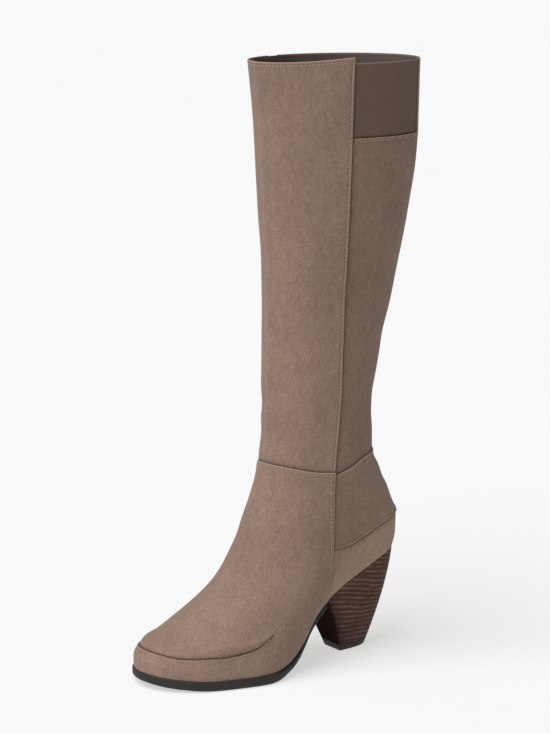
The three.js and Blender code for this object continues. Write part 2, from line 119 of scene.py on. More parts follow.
# the last, the same one that the frame's solids are made on
# level counts the rings up from the sole's edge; angle goes round, 0 toe, 90 degrees outer side, 180 back
ring = curvesOf(
    ("level", "frontY", "frontZ", "backY", "backZ", "width", "foot", "body", "sag", "dip"),
    [
        (0, -180.5, 12.5, 43.7, 85, 1, 1, 0, 1, 0),
        (1, -180.5, 21, 46.8, 97, 1.01, 1, 0.55, 1, 0),
        (2, -173.1, 31, 47.2, 111, 1, 1, 0.9, 0.93, 0),
        (3, -159.8, 37, 44.8, 118, 0.98, 0.97, 1, 0.82, 0),
        (4, -140.3, 49, 41.6, 126, 0.95, 0.85, 1, 0.65, 0),
        (5, -115.3, 67, 38.4, 134, 0.92, 0.65, 1, 0.45, 0),
        (6, -98.1, 92, 33.4, 143, 0.9, 0.4, 1, 0.25, 0),
        (7, -86.2, 122, 29.7, 152, 0.89, 0.2, 1, 0.1, 4),
        (8, -73.5, 163, 22.5, 166, 0.88, 0, 1, 0, 9),
        (9, -70, 200, 21.1, 200, 0.88, 0, 1, 0, 4),
        (10, -68.9, 250, 29.8, 250, 0.95, 0, 1, 0, 0),
        (11, -68.9, 300, 40.3, 300, 1.06, 0, 1, 0, 0),
        (12, -70.1, 350, 51.7, 350, 1.18, 0, 1, 0, 0),
        (13, -73.1, 400, 59.3, 400, 1.28, 0, 1, 0, 0),
        (14, -76.8, 450, 60.6, 450, 1.335, 0, 1, 0, 0),
        (15, -81.5, 500, 61.5, 500, 1.395, 0, 1, 0, 0),
    ],
)
station = curvesOf(
    ("share", "soleLateral", "soleMedial", "bodyLateral", "bodyMedial"),
    [
        (0, 55, 60, 55, 60),
        (0.12, 53.5, 50, 53.5, 50),
        (0.25, 49, 46, 48.5, 46),
        (0.37, 45.5, 41, 46, 43),
        (0.48, 35, 32, 41.5, 38.5),
        (0.6, 25.2, 22.5, 37, 33.5),
        (0.72, 30.5, 25, 37.5, 34),
        (0.85, 41.5, 36.5, 43.5, 41),
        (1, 57, 54, 58, 56),
    ],
)
sole = curvesOf(
    ("y", "z", "thickness"),
    [
        (-180.5, 12.5, 6.8),
        (-165, 10, 7.4),
        (-140, 8, 7.5),
        (-100, 8, 7.5),
        (-88, 8.5, 7),
        (-76, 11, 5.6),
        (-66, 16, 4.4),
        (-58, 23, 3.8),
        (-50, 32.5, 3.4),
        (-42, 41.5, 3.2),
        (-34, 50, 3.2),
        (-21.5, 59.5, 3),
        (-8, 67.5, 3),
        (7, 75, 3),
        (20, 80, 3),
        (32, 83, 3),
        (44, 85, 3),
    ],
)
sideLine = curvesOf(
    ("level", "seamY", "zipY"),
    [
        (0, -33.5, -49),
        (2, -35, -46),
        (4, -36.5, -41),
        (6, -36, -37),
        (8, -34, -33),
        (9.6, -29.5, -29.5),
        (12, -30, -29),
        (15, -31.5, -29),
    ],
)
last = {
    "legHalfWidth": 42,
    "toeInflare": 14,
    "inflareStart": -50,
    "medialDip": 1.8,
    "toe": (-180.5, 12.5),
    "heel": (43.7, 85),
    "shaftTop": 471,
    "collarPeak": 4.5,
    "goreBottom": 415,
    "goreBackAngle": 136,
    "zipHalfWidth": 5.4,
    "zipHalfWidthAtSole": 3,
    "soleGap": 0.08,
}
legRings = {"level": 9, "height": 200, "step": 50, "top": 15}
heelForm = {
    "centreX": -3,
    "halfWidth": 10,
    "breastY": -6,
    "backY": 24,
    "roundness": 2.5,
    "hollow": 1.6,
    "seatY": -33.5,
}

# the heel tip's flat underside fixes where the last's origin lies in the frame
tipFloor = np.array([v.co[:] for v in nodes["heel_tip"].data.vertices if v.co.z < 0.1 * mm])
lastOrigin = np.array(
    [
        (tipFloor[:, 0].min() + tipFloor[:, 0].max()) / 2 - heelForm["centreX"] * mm,
        tipFloor[:, 1].max() - heelForm["backY"] * mm,
        0,
    ]
)


def place(points):
    return np.asarray(points, float) * mm + lastOrigin


def lastPoint(angle, level):
    angle, level = np.broadcast_arrays(np.asarray(angle, float), np.asarray(level, float))
    share = (1 - np.cos(angle)) / 2
    across = np.sin(angle)
    outer = across >= 0
    soleWidth = np.where(outer, station["soleLateral"](share), station["soleMedial"](share))
    bodyWidth = np.where(outer, station["bodyLateral"](share), station["bodyMedial"](share))
    y = mixed(ring["frontY"](level), ring["backY"](level), share)
    chord = mixed(last["toe"][1], last["heel"][1], share)
    footY = mixed(last["toe"][0], last["heel"][0], share)
    dip = ring["dip"](level) * across**2 * np.where(outer, 1, last["medialDip"])
    z = mixed(ring["frontZ"](level), ring["backZ"](level), share)
    z = z + ring["sag"](level) * (sole["z"](footY) - chord) - dip
    footWidth = mixed(soleWidth, bodyWidth, ring["body"](level))
    halfWidth = ring["width"](level) * mixed(last["legHalfWidth"], footWidth, ring["foot"](level))
    inflare = -last["toeInflare"] * smoothStep(-y, -last["inflareStart"], -last["toe"][0])
    return np.stack([inflare + across * halfWidth, y, z], axis=-1)


def lastSlopes(angle, level):
    d = 0.01
    low = np.maximum(level - d, 0)
    roundWay = (lastPoint(angle + d, level) - lastPoint(angle - d, level)) / (2 * d)
    upWay = (lastPoint(angle, level + d) - lastPoint(angle, low)) / np.expand_dims(level + d - low, -1)
    return roundWay, upWay


def lengthOf(vectors):
    return np.sqrt((vectors * vectors).sum(axis=-1))


def normalAt(angle, level):
    roundWay, upWay = lastSlopes(angle, level)
    normal = np.cross(roundWay, upWay)
    return normal / lengthOf(normal)[..., None]


def roundLength(angle, level):
    return lengthOf(lastSlopes(angle, level)[0])


def upLength(level, angle):
    return lengthOf(lastSlopes(angle, level)[1])


def skinPoint(angle, level, distance):
    points = lastPoint(angle, level) + normalAt(angle, level) * np.asarray(distance)[..., None]
    points[..., 2] = np.maximum(points[..., 2], sole["z"](points[..., 1]))
    return points


def angleAtY(level, y):
    front, back = ring["frontY"](level), ring["backY"](level)
    return np.arccos(1 - 2 * np.clip((y - front) / (back - front), 0, 1))


# the lines that the panels are cut along
def levelAtHeight(z):
    return legRings["level"] + (z - legRings["height"]) / legRings["step"]


def sideSeam(level):
    return angleAtY(level, sideLine["seamY"](level))


def zipMiddle(level):
    return fullTurn - angleAtY(level, sideLine["zipY"](level))


def zipHalfWidth(level):
    return mixed(last["zipHalfWidthAtSole"], last["zipHalfWidth"], smoothStep(level, 0, 2))


def zipBackEdge(level):
    middle = zipMiddle(level)
    return middle - zipHalfWidth(level) / roundLength(middle, level)


def zipFrontEdge(level):
    middle = zipMiddle(level)
    return middle + zipHalfWidth(level) / roundLength(middle, level) - fullTurn


def fixedLine(value):
    return lambda other: np.full(np.shape(other), float(value))


def solveLevel(angles, heightLeft):
    low = np.zeros(len(angles))
    high = np.full(len(angles), float(legRings["top"]))
    for _ in range(40):
        middle = (low + high) / 2
        above = heightLeft(angles, lastPoint(angles, middle)) > 0
        high = np.where(above, middle, high)
        low = np.where(above, low, middle)
    return (low + high) / 2


def lineAlong(fromDegrees, toDegrees, heightLeft):
    angles = np.radians(np.linspace(fromDegrees, toDegrees, 121))
    return smoothCurve(angles, solveLevel(angles, heightLeft))


def heightTable(pairs):
    degrees, heights = zip(*pairs)
    height = smoothCurve(np.radians(degrees), heights)
    return lineAlong(degrees[0], degrees[-1], lambda angle, p: p[..., 2] - height(angle))


def profileTable(fromDegrees, toDegrees, pairs):
    ys, heights = zip(*pairs)
    height = smoothCurve(ys, heights)
    return lineAlong(fromDegrees, toDegrees, lambda angle, p: p[..., 2] - height(p[..., 1]))


shinLine = fixedLine(-0.1)
backLine = fixedLine(math.pi)
goreBack = fixedLine(math.radians(last["goreBackAngle"]))
soleEdge = fixedLine(0)
collarLevel = levelAtHeight(last["shaftTop"])
goreBottom = fixedLine(levelAtHeight(last["goreBottom"]))
collar = fixedLine(collarLevel)
vampTop = heightTable(
    [(-95, 147), (-75, 149), (-60, 153), (-30, 160), (0, 163.5), (30, 162.5), (50, 160), (68, 158), (95, 157)]
)
quarterTop = heightTable(
    [
        (50, 152.5),
        (68, 153),
        (97, 159),
        (120, 165),
        (150, 166),
        (180, 165),
        (205, 164),
        (228, 160),
        (250, 152),
        (270, 144),
        (300, 139),
    ]
)
foxingTop = profileTable(
    50,
    310,
    [(-50, 98), (-35, 96.6), (-17, 96.3), (-1, 100.6), (15, 106.6), (37, 111), (47, 112)],
)
toeWallTop = profileTable(
    -110,
    110,
    [
        (-181, 30),
        (-175, 28.7),
        (-160, 26.2),
        (-134, 26.2),
        (-120, 27.6),
        (-110, 29.6),
        (-102, 33.2),
        (-94.5, 38.3),
        (-86.5, 45.6),
        (-82, 49.6),
        (-76, 54),
        (-60, 62),
    ],
)


def vampSeam(angle):
    return toeWallTop(np.clip(angle, -toeWall["end"], toeWall["end"]))


def beforeSideSeam(level):
    edge = sideSeam(level)
    return np.minimum(toeWall["end"] + toeWall["ease"], edge - toeWall["clear"] / roundLength(edge, level))


def afterZip(level):
    edge = zipFrontEdge(level)
    return np.maximum(-toeWall["end"] - toeWall["ease"], edge + toeWall["clear"] / roundLength(edge, level))


def frontCollar(angle):
    corners = zipFrontEdge(collarLevel), sideSeam(collarLevel)
    along = np.clip((angle - corners[0]) / (corners[1] - corners[0]) * 2 - 1, 0, 1)
    return collarLevel + last["collarPeak"] / legRings["step"] * along**2


def liningTop(angle):
    turned = np.where(angle > math.pi, angle - fullTurn, angle)
    corners = zipFrontEdge(collarLevel), sideSeam(collarLevel)
    pastZip = smoothStep(turned, corners[0] - 0.06, corners[0])
    pastSeam = smoothStep(turned, corners[1], corners[1] + 0.06)
    return collarLevel + (frontCollar(turned) - collarLevel) * pastZip * (1 - pastSeam)


# how far each layer stands off the last, with its folds
def below(line, angle, level):
    return (line(angle) - level) * upLength(level, angle)


def before(line, angle, level):
    return (line(level) - angle) * roundLength(angle, level)


# the leather's main creases: degrees round, height, half length, half width, depth, slant
folds = [
    (0, 186, 30, 7, 0.7, 0.1),
    (35, 176, 26, 6, 0.5, -0.25),
    (-38, 205, 24, 8, 0.6, 0.2),
    (180, 196, 30, 7, 0.9, 0),
    (165, 214, 24, 8, 0.6, 0.2),
    (198, 232, 22, 9, 0.5, -0.2),
    (12, 128, 30, 9, 0.5, 0.1),
    (-18, 104, 26, 8, 0.45, -0.1),
    (25, 62, 24, 7, 0.5, 0.3),
    (-22, 50, 22, 7, 0.4, -0.3),
    (118, 126, 16, 6, 0.4, 0.5),
    (90, 300, 40, 14, 0.5, 0.5),
    (-60, 340, 40, 14, 0.5, -0.4),
    (150, 262, 34, 12, 0.6, 0.3),
]
foldRidge = {"height": 0.7, "halfWidth": 2.4, "from": 8.15, "to": 8.8}
undulation = {"depth": 0.45, "shinRidge": 0.4}
toeWall = {"end": 1.27, "steepFrom": 1.08, "ease": 0.06, "clear": 8}


def relief(angle, level):
    turned = np.where(angle > math.pi, angle - fullTurn, angle)
    points = lastPoint(angle, level)
    radius = roundLength(angle, level)
    total = foldRidge["height"] * fade(turned * radius, foldRidge["halfWidth"])
    total = total * smoothStep(level, foldRidge["from"], foldRidge["to"])
    for degrees, height, halfLength, halfWidth, depth, slant in folds:
        away = np.angle(np.exp(1j * (angle - math.radians(degrees)))) * radius
        across = (points[..., 2] - height - slant * away) / halfWidth
        trough = -np.exp(-(across**2)) + 0.4 * fade(np.abs(across) - 2, 1)
        total = total + depth * trough * fade(away, halfLength)
    pressed = fade((turned - shinLine(level)) * radius, 2.4) * smoothStep(level, 8.2, 9.4)
    total = total + undulation["shinRidge"] * pressed
    z = points[..., 2]
    waves = np.sin(z / 37 + 2.2 * np.sin(angle)) * np.cos(2 * angle + z / 61)
    waves = waves + 0.6 * np.sin(z / 19 - 3 * angle)
    onLeg = smoothStep(level, 6, 9.5) * (1 - 0.7 * smoothStep(level, 13.6, 14.4))
    return total + undulation["depth"] * waves * (0.35 + 0.65 * onLeg)


def frontLift(angle, level):
    return 0.2 + 1.0 * fade(before(sideSeam, angle, level), 7)


def backLift(angle, level):
    return 0.25 * fade(below(goreBottom, angle, level), 8)


def goreLift(angle, level):
    return np.full(np.shape(angle), -0.8)


def vampLift(angle, level):
    lift = 0.25 + 0.85 * fade(below(vampTop, angle, level), 10)
    lift = lift + 0.9 * fade(before(sideSeam, angle, level), 7)
    above = -below(vampSeam, angle, level)
    onToe = 1 - smoothStep(np.abs(angle), toeWall["end"] - 0.1, toeWall["end"])
    puff = 0.5 * fade(above - 8, 5.5) - 0.3 * fade(above, 1.5)
    return lift + puff * onToe


def quarterLift(angle, level):
    low = -below(foxingTop, angle, level)
    return 0.1 + 0.75 * fade(below(quarterTop, angle, level), 9) + 0.8 * fade(low, 6)


def foxingLift(angle, level):
    return np.full(np.shape(angle), 0.0)


def toeWallLift(angle, level):
    onToe = 1 - smoothStep(np.abs(angle), toeWall["end"] - toeWall["ease"], toeWall["end"])
    return -0.1 + 0.78 * onToe


def liningLift(angle, level):
    return np.full(np.shape(angle), -1.6)


# grids that follow the cut lines
# a stop is a line, how far past it in millimetres, and the number of cells since the stop before
def startEdge(line, under=0):
    first = [(line, 0, 0)] if not under else [(line, -under, 0), (line, 0, 2)]
    return [*first, (line, 1.1, 1), (line, 2.6, 1), (line, 6, 2)]


def endEdge(line, cells, under=0):
    stops = [(line, -6, cells), (line, -2.6, 2), (line, -1.1, 1), (line, 0, 1)]
    return stops if not under else [*stops, (line, under, 2)]


def through(line, cells, step=1.5):
    return [(line, -3 * step, cells), (line, -step, 1), (line, 0, 1), (line, step, 1), (line, 3 * step, 1)]


def followStops(stops, across, lengthAt):
    values = np.empty_like(across)
    start = 0
    for (line, offset, _), (nextLine, nextOffset, cells) in zip(stops, stops[1:]):
        span = slice(start, start + cells + 1)
        other = across[:, span]
        first = line(other)
        second = nextLine(other)
        first = first + offset / lengthAt(first, other)
        second = second + nextOffset / lengthAt(second, other)
        values[:, span] = first + (second - first) * np.linspace(0, 1, cells + 1)
        start += cells
    return values


def solveGrid(columnStops, rowStops, guess):
    columns = sum(stop[2] for stop in columnStops)
    rows = sum(stop[2] for stop in rowStops)
    angle = np.full((rows + 1, columns + 1), math.radians(guess))
    for _ in range(5):
        level = followStops(rowStops, angle.T, upLength).T
        angle = followStops(columnStops, level, roundLength)
    return angle, level


def addGrid(name, columns, rows):
    bpy.ops.object.select_all(action="DESELECT")
    bpy.ops.mesh.primitive_grid_add(x_subdivisions=columns, y_subdivisions=rows, size=1)
    piece = bpy.context.object
    piece.name = name
    piece.data.name = name
    return piece


def vertexArray(piece):
    co = np.empty(len(piece.data.vertices) * 3)
    piece.data.vertices.foreach_get("co", co)
    return co.reshape(-1, 3)


def setVertices(piece, co):
    piece.data.vertices.foreach_set("co", np.asarray(co, float).ravel())
    piece.data.update()


def shapeGrid(piece, points):
    rows, columns = points.shape[0] - 1, points.shape[1] - 1
    co = vertexArray(piece)
    column = np.rint((co[:, 0] + 0.5) * columns).astype(int)
    row = np.rint((co[:, 1] + 0.5) * rows).astype(int)
    setVertices(piece, points[row, column])


def useOnly(piece):
    bpy.ops.object.select_all(action="DESELECT")
    piece.select_set(True)
    bpy.context.view_layer.objects.active = piece


def addAttribute(piece, name, values):
    attribute = piece.data.attributes.new(name, "FLOAT", "POINT")
    attribute.data.foreach_set("value", np.asarray(values, np.float32))


def applyModifier(piece, kind, settings):
    useOnly(piece)
    modifier = piece.modifiers.new(kind.title(), kind)
    for key, value in settings.items():
        setattr(modifier, key, value)
    bpy.ops.object.modifier_apply(modifier=modifier.name)


def editMesh(piece, chosen, *steps):
    useOnly(piece)
    bpy.ops.object.mode_set(mode="EDIT")
    bpy.ops.mesh.select_all(action="DESELECT")
    bpy.ops.object.mode_set(mode="OBJECT")
    faces = np.zeros(len(piece.data.polygons), bool)
    faces[:] = chosen
    piece.data.polygons.foreach_set("select", faces)
    bpy.ops.object.mode_set(mode="EDIT")
    bpy.ops.mesh.select_mode(type="FACE")
    bpy.ops.object.mode_set(mode="OBJECT")
    piece.data.polygons.foreach_set("select", faces)
    bpy.ops.object.mode_set(mode="EDIT")
    for step in steps:
        step()
    bpy.ops.object.mode_set(mode="OBJECT")


def mergeDoubles():
    bpy.ops.mesh.remove_doubles(threshold=0.02 * mm)


def faceOutwards():
    bpy.ops.mesh.normals_make_consistent(inside=False)


def smoothFaces(piece, degrees=40):
    useOnly(piece)
    bpy.ops.object.shade_smooth_by_angle(angle=math.radians(degrees))


def finishPiece(piece, body, slotName, material, *replaced):
    piece.data.materials.clear()
    piece.data.materials.append(material)
    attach(piece, body)
    if replaced:
        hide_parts(*replaced)


# shader maths: a Wire is one output of a node, and a Finish is a material under construction
class Wire:
    def __init__(self, finish, socket):
        self.finish = finish
        self.socket = socket

    def maths(self, operation, first, second=0.0):
        return self.finish.node("ShaderNodeMath", {"operation": operation}, {0: first, 1: second})

    def __add__(self, other):
        return self.maths("ADD", self, other)

    def __radd__(self, other):
        return self.maths("ADD", other, self)

    def __sub__(self, other):
        return self.maths("SUBTRACT", self, other)

    def __rsub__(self, other):
        return self.maths("SUBTRACT", other, self)

    def __mul__(self, other):
        return self.maths("MULTIPLY", self, other)

    def __rmul__(self, other):
        return self.maths("MULTIPLY", other, self)

    def __truediv__(self, other):
        return self.maths("DIVIDE", self, other)

    def __rtruediv__(self, other):
        return self.maths("DIVIDE", other, self)

    def __pow__(self, other):
        return self.maths("POWER", self, other)

    def __neg__(self):
        return self.maths("MULTIPLY", self, -1.0)

    def applied(self, operation):
        return self.maths(operation, self)

    def near(self, middle, reach):
        away = (self - middle) / reach
        return (-(away * away)).applied("EXPONENT")

    def part(self, name):
        return Wire(self.finish, self.socket.node.outputs[name])


class Finish:
    def __init__(self, name, constants):
        self.material = bpy.data.materials.new(name)
        self.material.use_nodes = True
        self.tree = self.material.node_tree
        self.shader = self.tree.nodes["Principled BSDF"]
        for key, value in constants.items():
            self.shader.inputs[key].default_value = value

    def node(self, kind, settings=None, sockets=None, output=0):
        node = self.tree.nodes.new(kind)
        for key, value in (settings or {}).items():
            if key == "stops":
                self.setStops(node.color_ramp, value)
            else:
                setattr(node, key, value)
        for key, value in (sockets or {}).items():
            self.feed(node.inputs[key], value)
        return Wire(self, node.outputs[output])

    def setStops(self, ramp, stops):
        while len(ramp.elements) < len(stops):
            ramp.elements.new(0.5)
        for element, (position, colour) in zip(ramp.elements, stops):
            element.position = position
            element.color = colour

    def feed(self, socket, value):
        if isinstance(value, Wire):
            self.tree.links.new(value.socket, socket)
        else:
            socket.default_value = value

    def shade(self, sockets):
        for key, value in sockets.items():
            self.feed(self.shader.inputs[key], value)
        return self.material

    def here(self):
        return self.node("ShaderNodeTexCoord", output="Object")

    def stretched(self, vector, scale, turn=(0, 0, 0)):
        return self.node("ShaderNodeMapping", sockets={"Vector": vector, "Scale": scale, "Rotation": turn})

    def noise(self, vector, size, detail=2.0, roughness=0.5, distortion=0.0):
        sockets = {"Vector": vector, "Scale": 1 / (size * mm), "Detail": detail}
        sockets = {**sockets, "Roughness": roughness, "Distortion": distortion}
        return self.node("ShaderNodeTexNoise", sockets=sockets)

    def blend(self, first, second, share, how="MIX"):
        settings = {"data_type": "RGBA", "blend_type": how}
        return self.node("ShaderNodeMix", settings, {0: share, 6: first, 7: second}, output=2)

    def ranged(self, value, low, high, outLow=0.0, outHigh=1.0):
        settings = {"interpolation_type": "SMOOTHSTEP"}
        sockets = {"Value": value, "From Min": low, "From Max": high, "To Min": outLow, "To Max": outHigh}
        return self.node("ShaderNodeMapRange", settings, sockets)

    def attribute(self, name):
        return self.node("ShaderNodeAttribute", {"attribute_name": name}, output="Fac")

    def bump(self, height, strength, depth):
        sockets = {"Height": height, "Strength": strength, "Distance": depth * mm}
        return self.node("ShaderNodeBump", sockets=sockets)

    def grey(self, value):
        return self.node("ShaderNodeCombineColor", sockets={0: value, 1: value, 2: value})


def colour(red, green, blue):
    def linear(value):
        value = value / 255
        return value / 12.92 if value <= 0.04045 else ((value + 0.055) / 1.055) ** 2.4

    return (linear(red), linear(green), linear(blue), 1.0)


suedeLook = {
    "base": colour(135, 112, 99),
    "light": colour(154, 129, 114),
    "deep": colour(112, 92, 80),
    "edge": colour(170, 145, 128),
    "shadow": colour(60, 44, 37),
    "roughness": 0.93,
    "sheen": 0.1,
}


def makeSuede(name, look):
    constants = {"Roughness": look["roughness"], "Sheen Weight": look["sheen"], "Sheen Roughness": 0.45}
    finish = Finish(name, {**constants, "Specular IOR Level": 0.15})
    where = finish.here()
    cloud = finish.noise(where, 70, detail=2.0, roughness=0.5)
    mottle = finish.noise(finish.stretched(where, (1, 1, 0.6)), 7, detail=4.0, roughness=0.65, distortion=0.5)
    upright = finish.stretched(where, (1, 1, 0.4))
    brushed = finish.noise(upright, 1.6, detail=4.0, roughness=0.7, distortion=0.8)
    nap = finish.noise(where, 1.1, detail=6.0, roughness=0.8)
    patches = finish.ranged(cloud * 0.5 + mottle * 0.5, 0.34, 0.68)
    strokes = finish.ranged(brushed, 0.3, 0.7)
    tone = finish.blend(look["deep"], look["light"], patches * 0.4 + strokes * 0.42 + 0.09)
    tone = finish.blend(tone, look["base"], 0.2)
    speck = finish.ranged(nap, 0.3, 0.7, 0.76, 1.24)
    tone = finish.blend(tone, finish.grey(speck), 1.0, "MULTIPLY")
    rim = finish.attribute("rim")
    tuck = finish.attribute("tuck")
    fray = finish.noise(where, 2.2, detail=2.0)
    worn = rim.near(0.0, 0.65) * (0.4 + fray * 0.7)
    # painted highlight along the crest of the pressed shin ridge
    pressed = finish.attribute("press").near(0.0, 0.8) * (0.1 + fray * 0.5)
    groove = rim.near(2.3, 0.6)
    # painted shade in the stitch groove, a trough too narrow for the mesh; the bump below also dents it
    tone = finish.blend(tone, look["shadow"], groove * 0.2)
    tone = finish.blend(tone, look["edge"], worn)
    # the painted shin highlight
    tone = finish.blend(tone, look["edge"], pressed)
    # painted shadow beside the edges of pieces that lie on this one: a soft wide band, then a narrow dark
    # line at the edge
    tone = finish.blend(tone, look["shadow"], tuck.near(0.0, 2.2) * 0.22)
    tone = finish.blend(tone, look["shadow"], tuck.near(0.0, 0.65) * 0.9)
    height = nap * 0.5 + brushed * 0.6 + mottle * 0.7 - groove * 0.9
    return finish.shade({"Base Color": tone, "Normal": finish.bump(height, 0.35, 0.35)})


def toned(look, red, green, blue):
    changed = dict(look)
    for key in ("base", "light", "deep", "edge"):
        changed[key] = (look[key][0] * red, look[key][1] * green, look[key][2] * blue, 1)
    return changed


suede = makeSuede("taupeSuede", suedeLook)
# a darker copy of the suede for the back panels: partly a real difference in the hide's tone, partly painted
# shade on the back, which faces away from the key light
shadedBackSuede = makeSuede("shadedBackSuede", toned(suedeLook, 0.9, 0.9, 0.9))
# lighter copies for the heel foxing and the toe wall: partly a real difference in the hide's tone, partly
# painted light standing in for light bounced from the floor onto the low outer side
litFoxingSuede = makeSuede("litFoxingSuede", toned(suedeLook, 1.3, 1.32, 1.27))
litWallSuede = makeSuede("litWallSuede", toned(suedeLook, 1.07, 1.08, 1.09))


def makeElastic():
    look = {"base": colour(94, 77, 67), "light": colour(116, 97, 85), "edge": colour(150, 128, 112)}
    finish = Finish("ribbedElastic", {"Roughness": 0.85, "Specular IOR Level": 0.2})
    where = finish.here()
    rows = finish.node("ShaderNodeSeparateXYZ", sockets={"Vector": where}, output="Z")
    ribs = (rows * (fullTurn / (0.9 * mm))).applied("SINE")
    weave = finish.noise(finish.stretched(where, (1, 1, 0.4)), 0.6, detail=2.0)
    cloud = finish.noise(where, 14, detail=3.0)
    tone = finish.blend(look["base"], look["light"], weave * 0.3 + ribs * 0.1 + cloud * 0.3)
    worn = finish.attribute("rim").near(0.0, 0.7)
    tone = finish.blend(tone, look["edge"], worn * 0.8)
    # painted shadow where the front panel's and the notch's edges lie over the elastic
    tone = finish.blend(tone, colour(36, 27, 23), finish.attribute("tuck").near(0.0, 1.4) * 0.8)
    return finish.shade({"Base Color": tone, "Normal": finish.bump(ribs * 0.5 + weave, 0.3, 0.2)})


elastic = makeElastic()


def makeLining():
    finish = Finish("linings", {"Roughness": 0.7, "Specular IOR Level": 0.3})
    where = finish.here()
    weave = finish.noise(where, 0.8, detail=3.0)
    cloud = finish.noise(where, 18, detail=3.0)
    tone = finish.blend(colour(84, 71, 66), colour(112, 99, 93), weave * 0.35 + cloud * 0.5)
    return finish.shade({"Base Color": tone, "Normal": finish.bump(weave, 0.25, 0.2)})


lining = makeLining()


def makeThread(name, dark, light):
    finish = Finish(name, {"Roughness": 0.7, "Sheen Weight": 0.1})
    where = finish.here()
    twist = finish.noise(where, 0.5, detail=1.0)
    run = finish.noise(where, 9, detail=2.0)
    tone = finish.blend(dark, light, twist * 0.5 + run * 0.5)
    return finish.shade({"Base Color": tone, "Normal": finish.bump(twist, 0.4, 0.1)})


thread = makeThread("waxedThread", colour(158, 134, 118), colour(204, 182, 164))
liningThread = makeThread("liningThread", colour(44, 36, 34), colour(70, 60, 56))
print("suede, elastic, lining and thread ready")

# the panels
cutLines = {}
panelSettings = {
    "frontPanel": {
        "columns": [*startEdge(zipFrontEdge), *through(shinLine, 22, 1.1), *endEdge(sideSeam, 30)],
        "rows": [(vampTop, -6, 0), (vampTop, 0, 2), (vampTop, 3, 2), *endEdge(frontCollar, 118)],
        "lift": frontLift,
        "guess": 0,
        "thickness": 1.5,
        "edges": ("left", "right", "top"),
    },
    "backPanelOuter": {
        "columns": [*startEdge(sideSeam, 4), *through(goreBack, 26, 1.1), *endEdge(backLine, 16)],
        "rows": [
            (quarterTop, -6, 0),
            (quarterTop, 0, 2),
            (quarterTop, 3, 2),
            *through(goreBottom, 96, 1.1),
            *endEdge(collar, 18),
        ],
        "lift": backLift,
        "guess": 120,
        "thickness": 1.4,
        "edges": (),
    },
    "backPanelInner": {
        "columns": [*startEdge(backLine), *endEdge(zipBackEdge, 40)],
        "rows": [(quarterTop, -6, 0), (quarterTop, 0, 2), (quarterTop, 3, 2), *endEdge(collar, 112)],
        "lift": backLift,
        "guess": 230,
        "thickness": 1.4,
        "edges": ("right", "top"),
    },
    "vamp": {
        "columns": [
            *startEdge(zipFrontEdge),
            (afterZip, 0, 10),
            (fixedLine(-toeWall["steepFrom"]), 0, 22),
            (fixedLine(toeWall["steepFrom"]), 0, 56),
            (beforeSideSeam, 0, 22),
            *endEdge(sideSeam, 10),
        ],
        "rows": [
            (soleEdge, 0, 0),
            (vampSeam, -1.4, 7),
            (vampSeam, 0, 1),
            (vampSeam, 1.4, 1),
            (vampSeam, 3.5, 1),
            *endEdge(vampTop, 56),
        ],
        "lift": vampLift,
        "guess": 0,
        "thickness": 1.0,
        "edges": ("left", "right", "top"),
    },
    "quarterOuter": {
        "columns": [*startEdge(sideSeam, 4), *endEdge(backLine, 40)],
        "rows": [*startEdge(foxingTop), *endEdge(quarterTop, 18)],
        "lift": quarterLift,
        "guess": 120,
        "thickness": 0.9,
        "edges": ("top", "bottom"),
    },
    "quarterInner": {
        "columns": [*startEdge(backLine), *endEdge(zipBackEdge, 40)],
        "rows": [*startEdge(foxingTop), *endEdge(quarterTop, 18)],
        "lift": quarterLift,
        "guess": 230,
        "thickness": 0.9,
        "edges": ("right", "top", "bottom"),
    },
    "heelFoxing": {
        "columns": [*startEdge(sideSeam, 4), *through(backLine, 38), *endEdge(zipBackEdge, 40)],
        "rows": [
            (soleEdge, 0, 0),
            (foxingTop, -4, 14),
            (foxingTop, -1.2, 2),
            (foxingTop, 0, 1),
            (foxingTop, 4, 2),
        ],
        "lift": foxingLift,
        "guess": 180,
        "thickness": 1.0,
        "edges": ("right",),
    },
    "gorePanel": {
        "columns": [
            (sideSeam, -4, 0),
            (sideSeam, 0, 2),
            (sideSeam, 2, 2),
            (goreBack, -2, 30),
            (goreBack, 0, 2),
            (goreBack, 4, 2),
        ],
        "rows": [(goreBottom, -4, 0), (goreBottom, 0, 2), (goreBottom, 2, 2), *endEdge(collar, 22)],
        "lift": goreLift,
        "guess": 100,
        "thickness": 0.8,
        "edges": ("top",),
    },
    "toeWall": {
        "columns": [
            (fixedLine(-toeWall["end"]), 0, 0),
            (fixedLine(-toeWall["steepFrom"]), 0, 20),
            (fixedLine(toeWall["steepFrom"]), 0, 80),
            (fixedLine(toeWall["end"]), 0, 20),
        ],
        "rows": [(soleEdge, 0, 0), *endEdge(toeWallTop, 7)],
        "lift": toeWallLift,
        "guess": 0,
        "thickness": 0.9,
        "edges": ("top",),
    },
    "legLining": {
        "columns": [(fixedLine(0), 0, 0), (fixedLine(fullTurn), 0, 120)],
        "rows": [(fixedLine(0.4), 0, 0), (fixedLine(8), 0, 40), (liningTop, -1, 60)],
        "lift": liningLift,
        "guess": 180,
        "thickness": 0.6,
        "edges": (),
    },
}


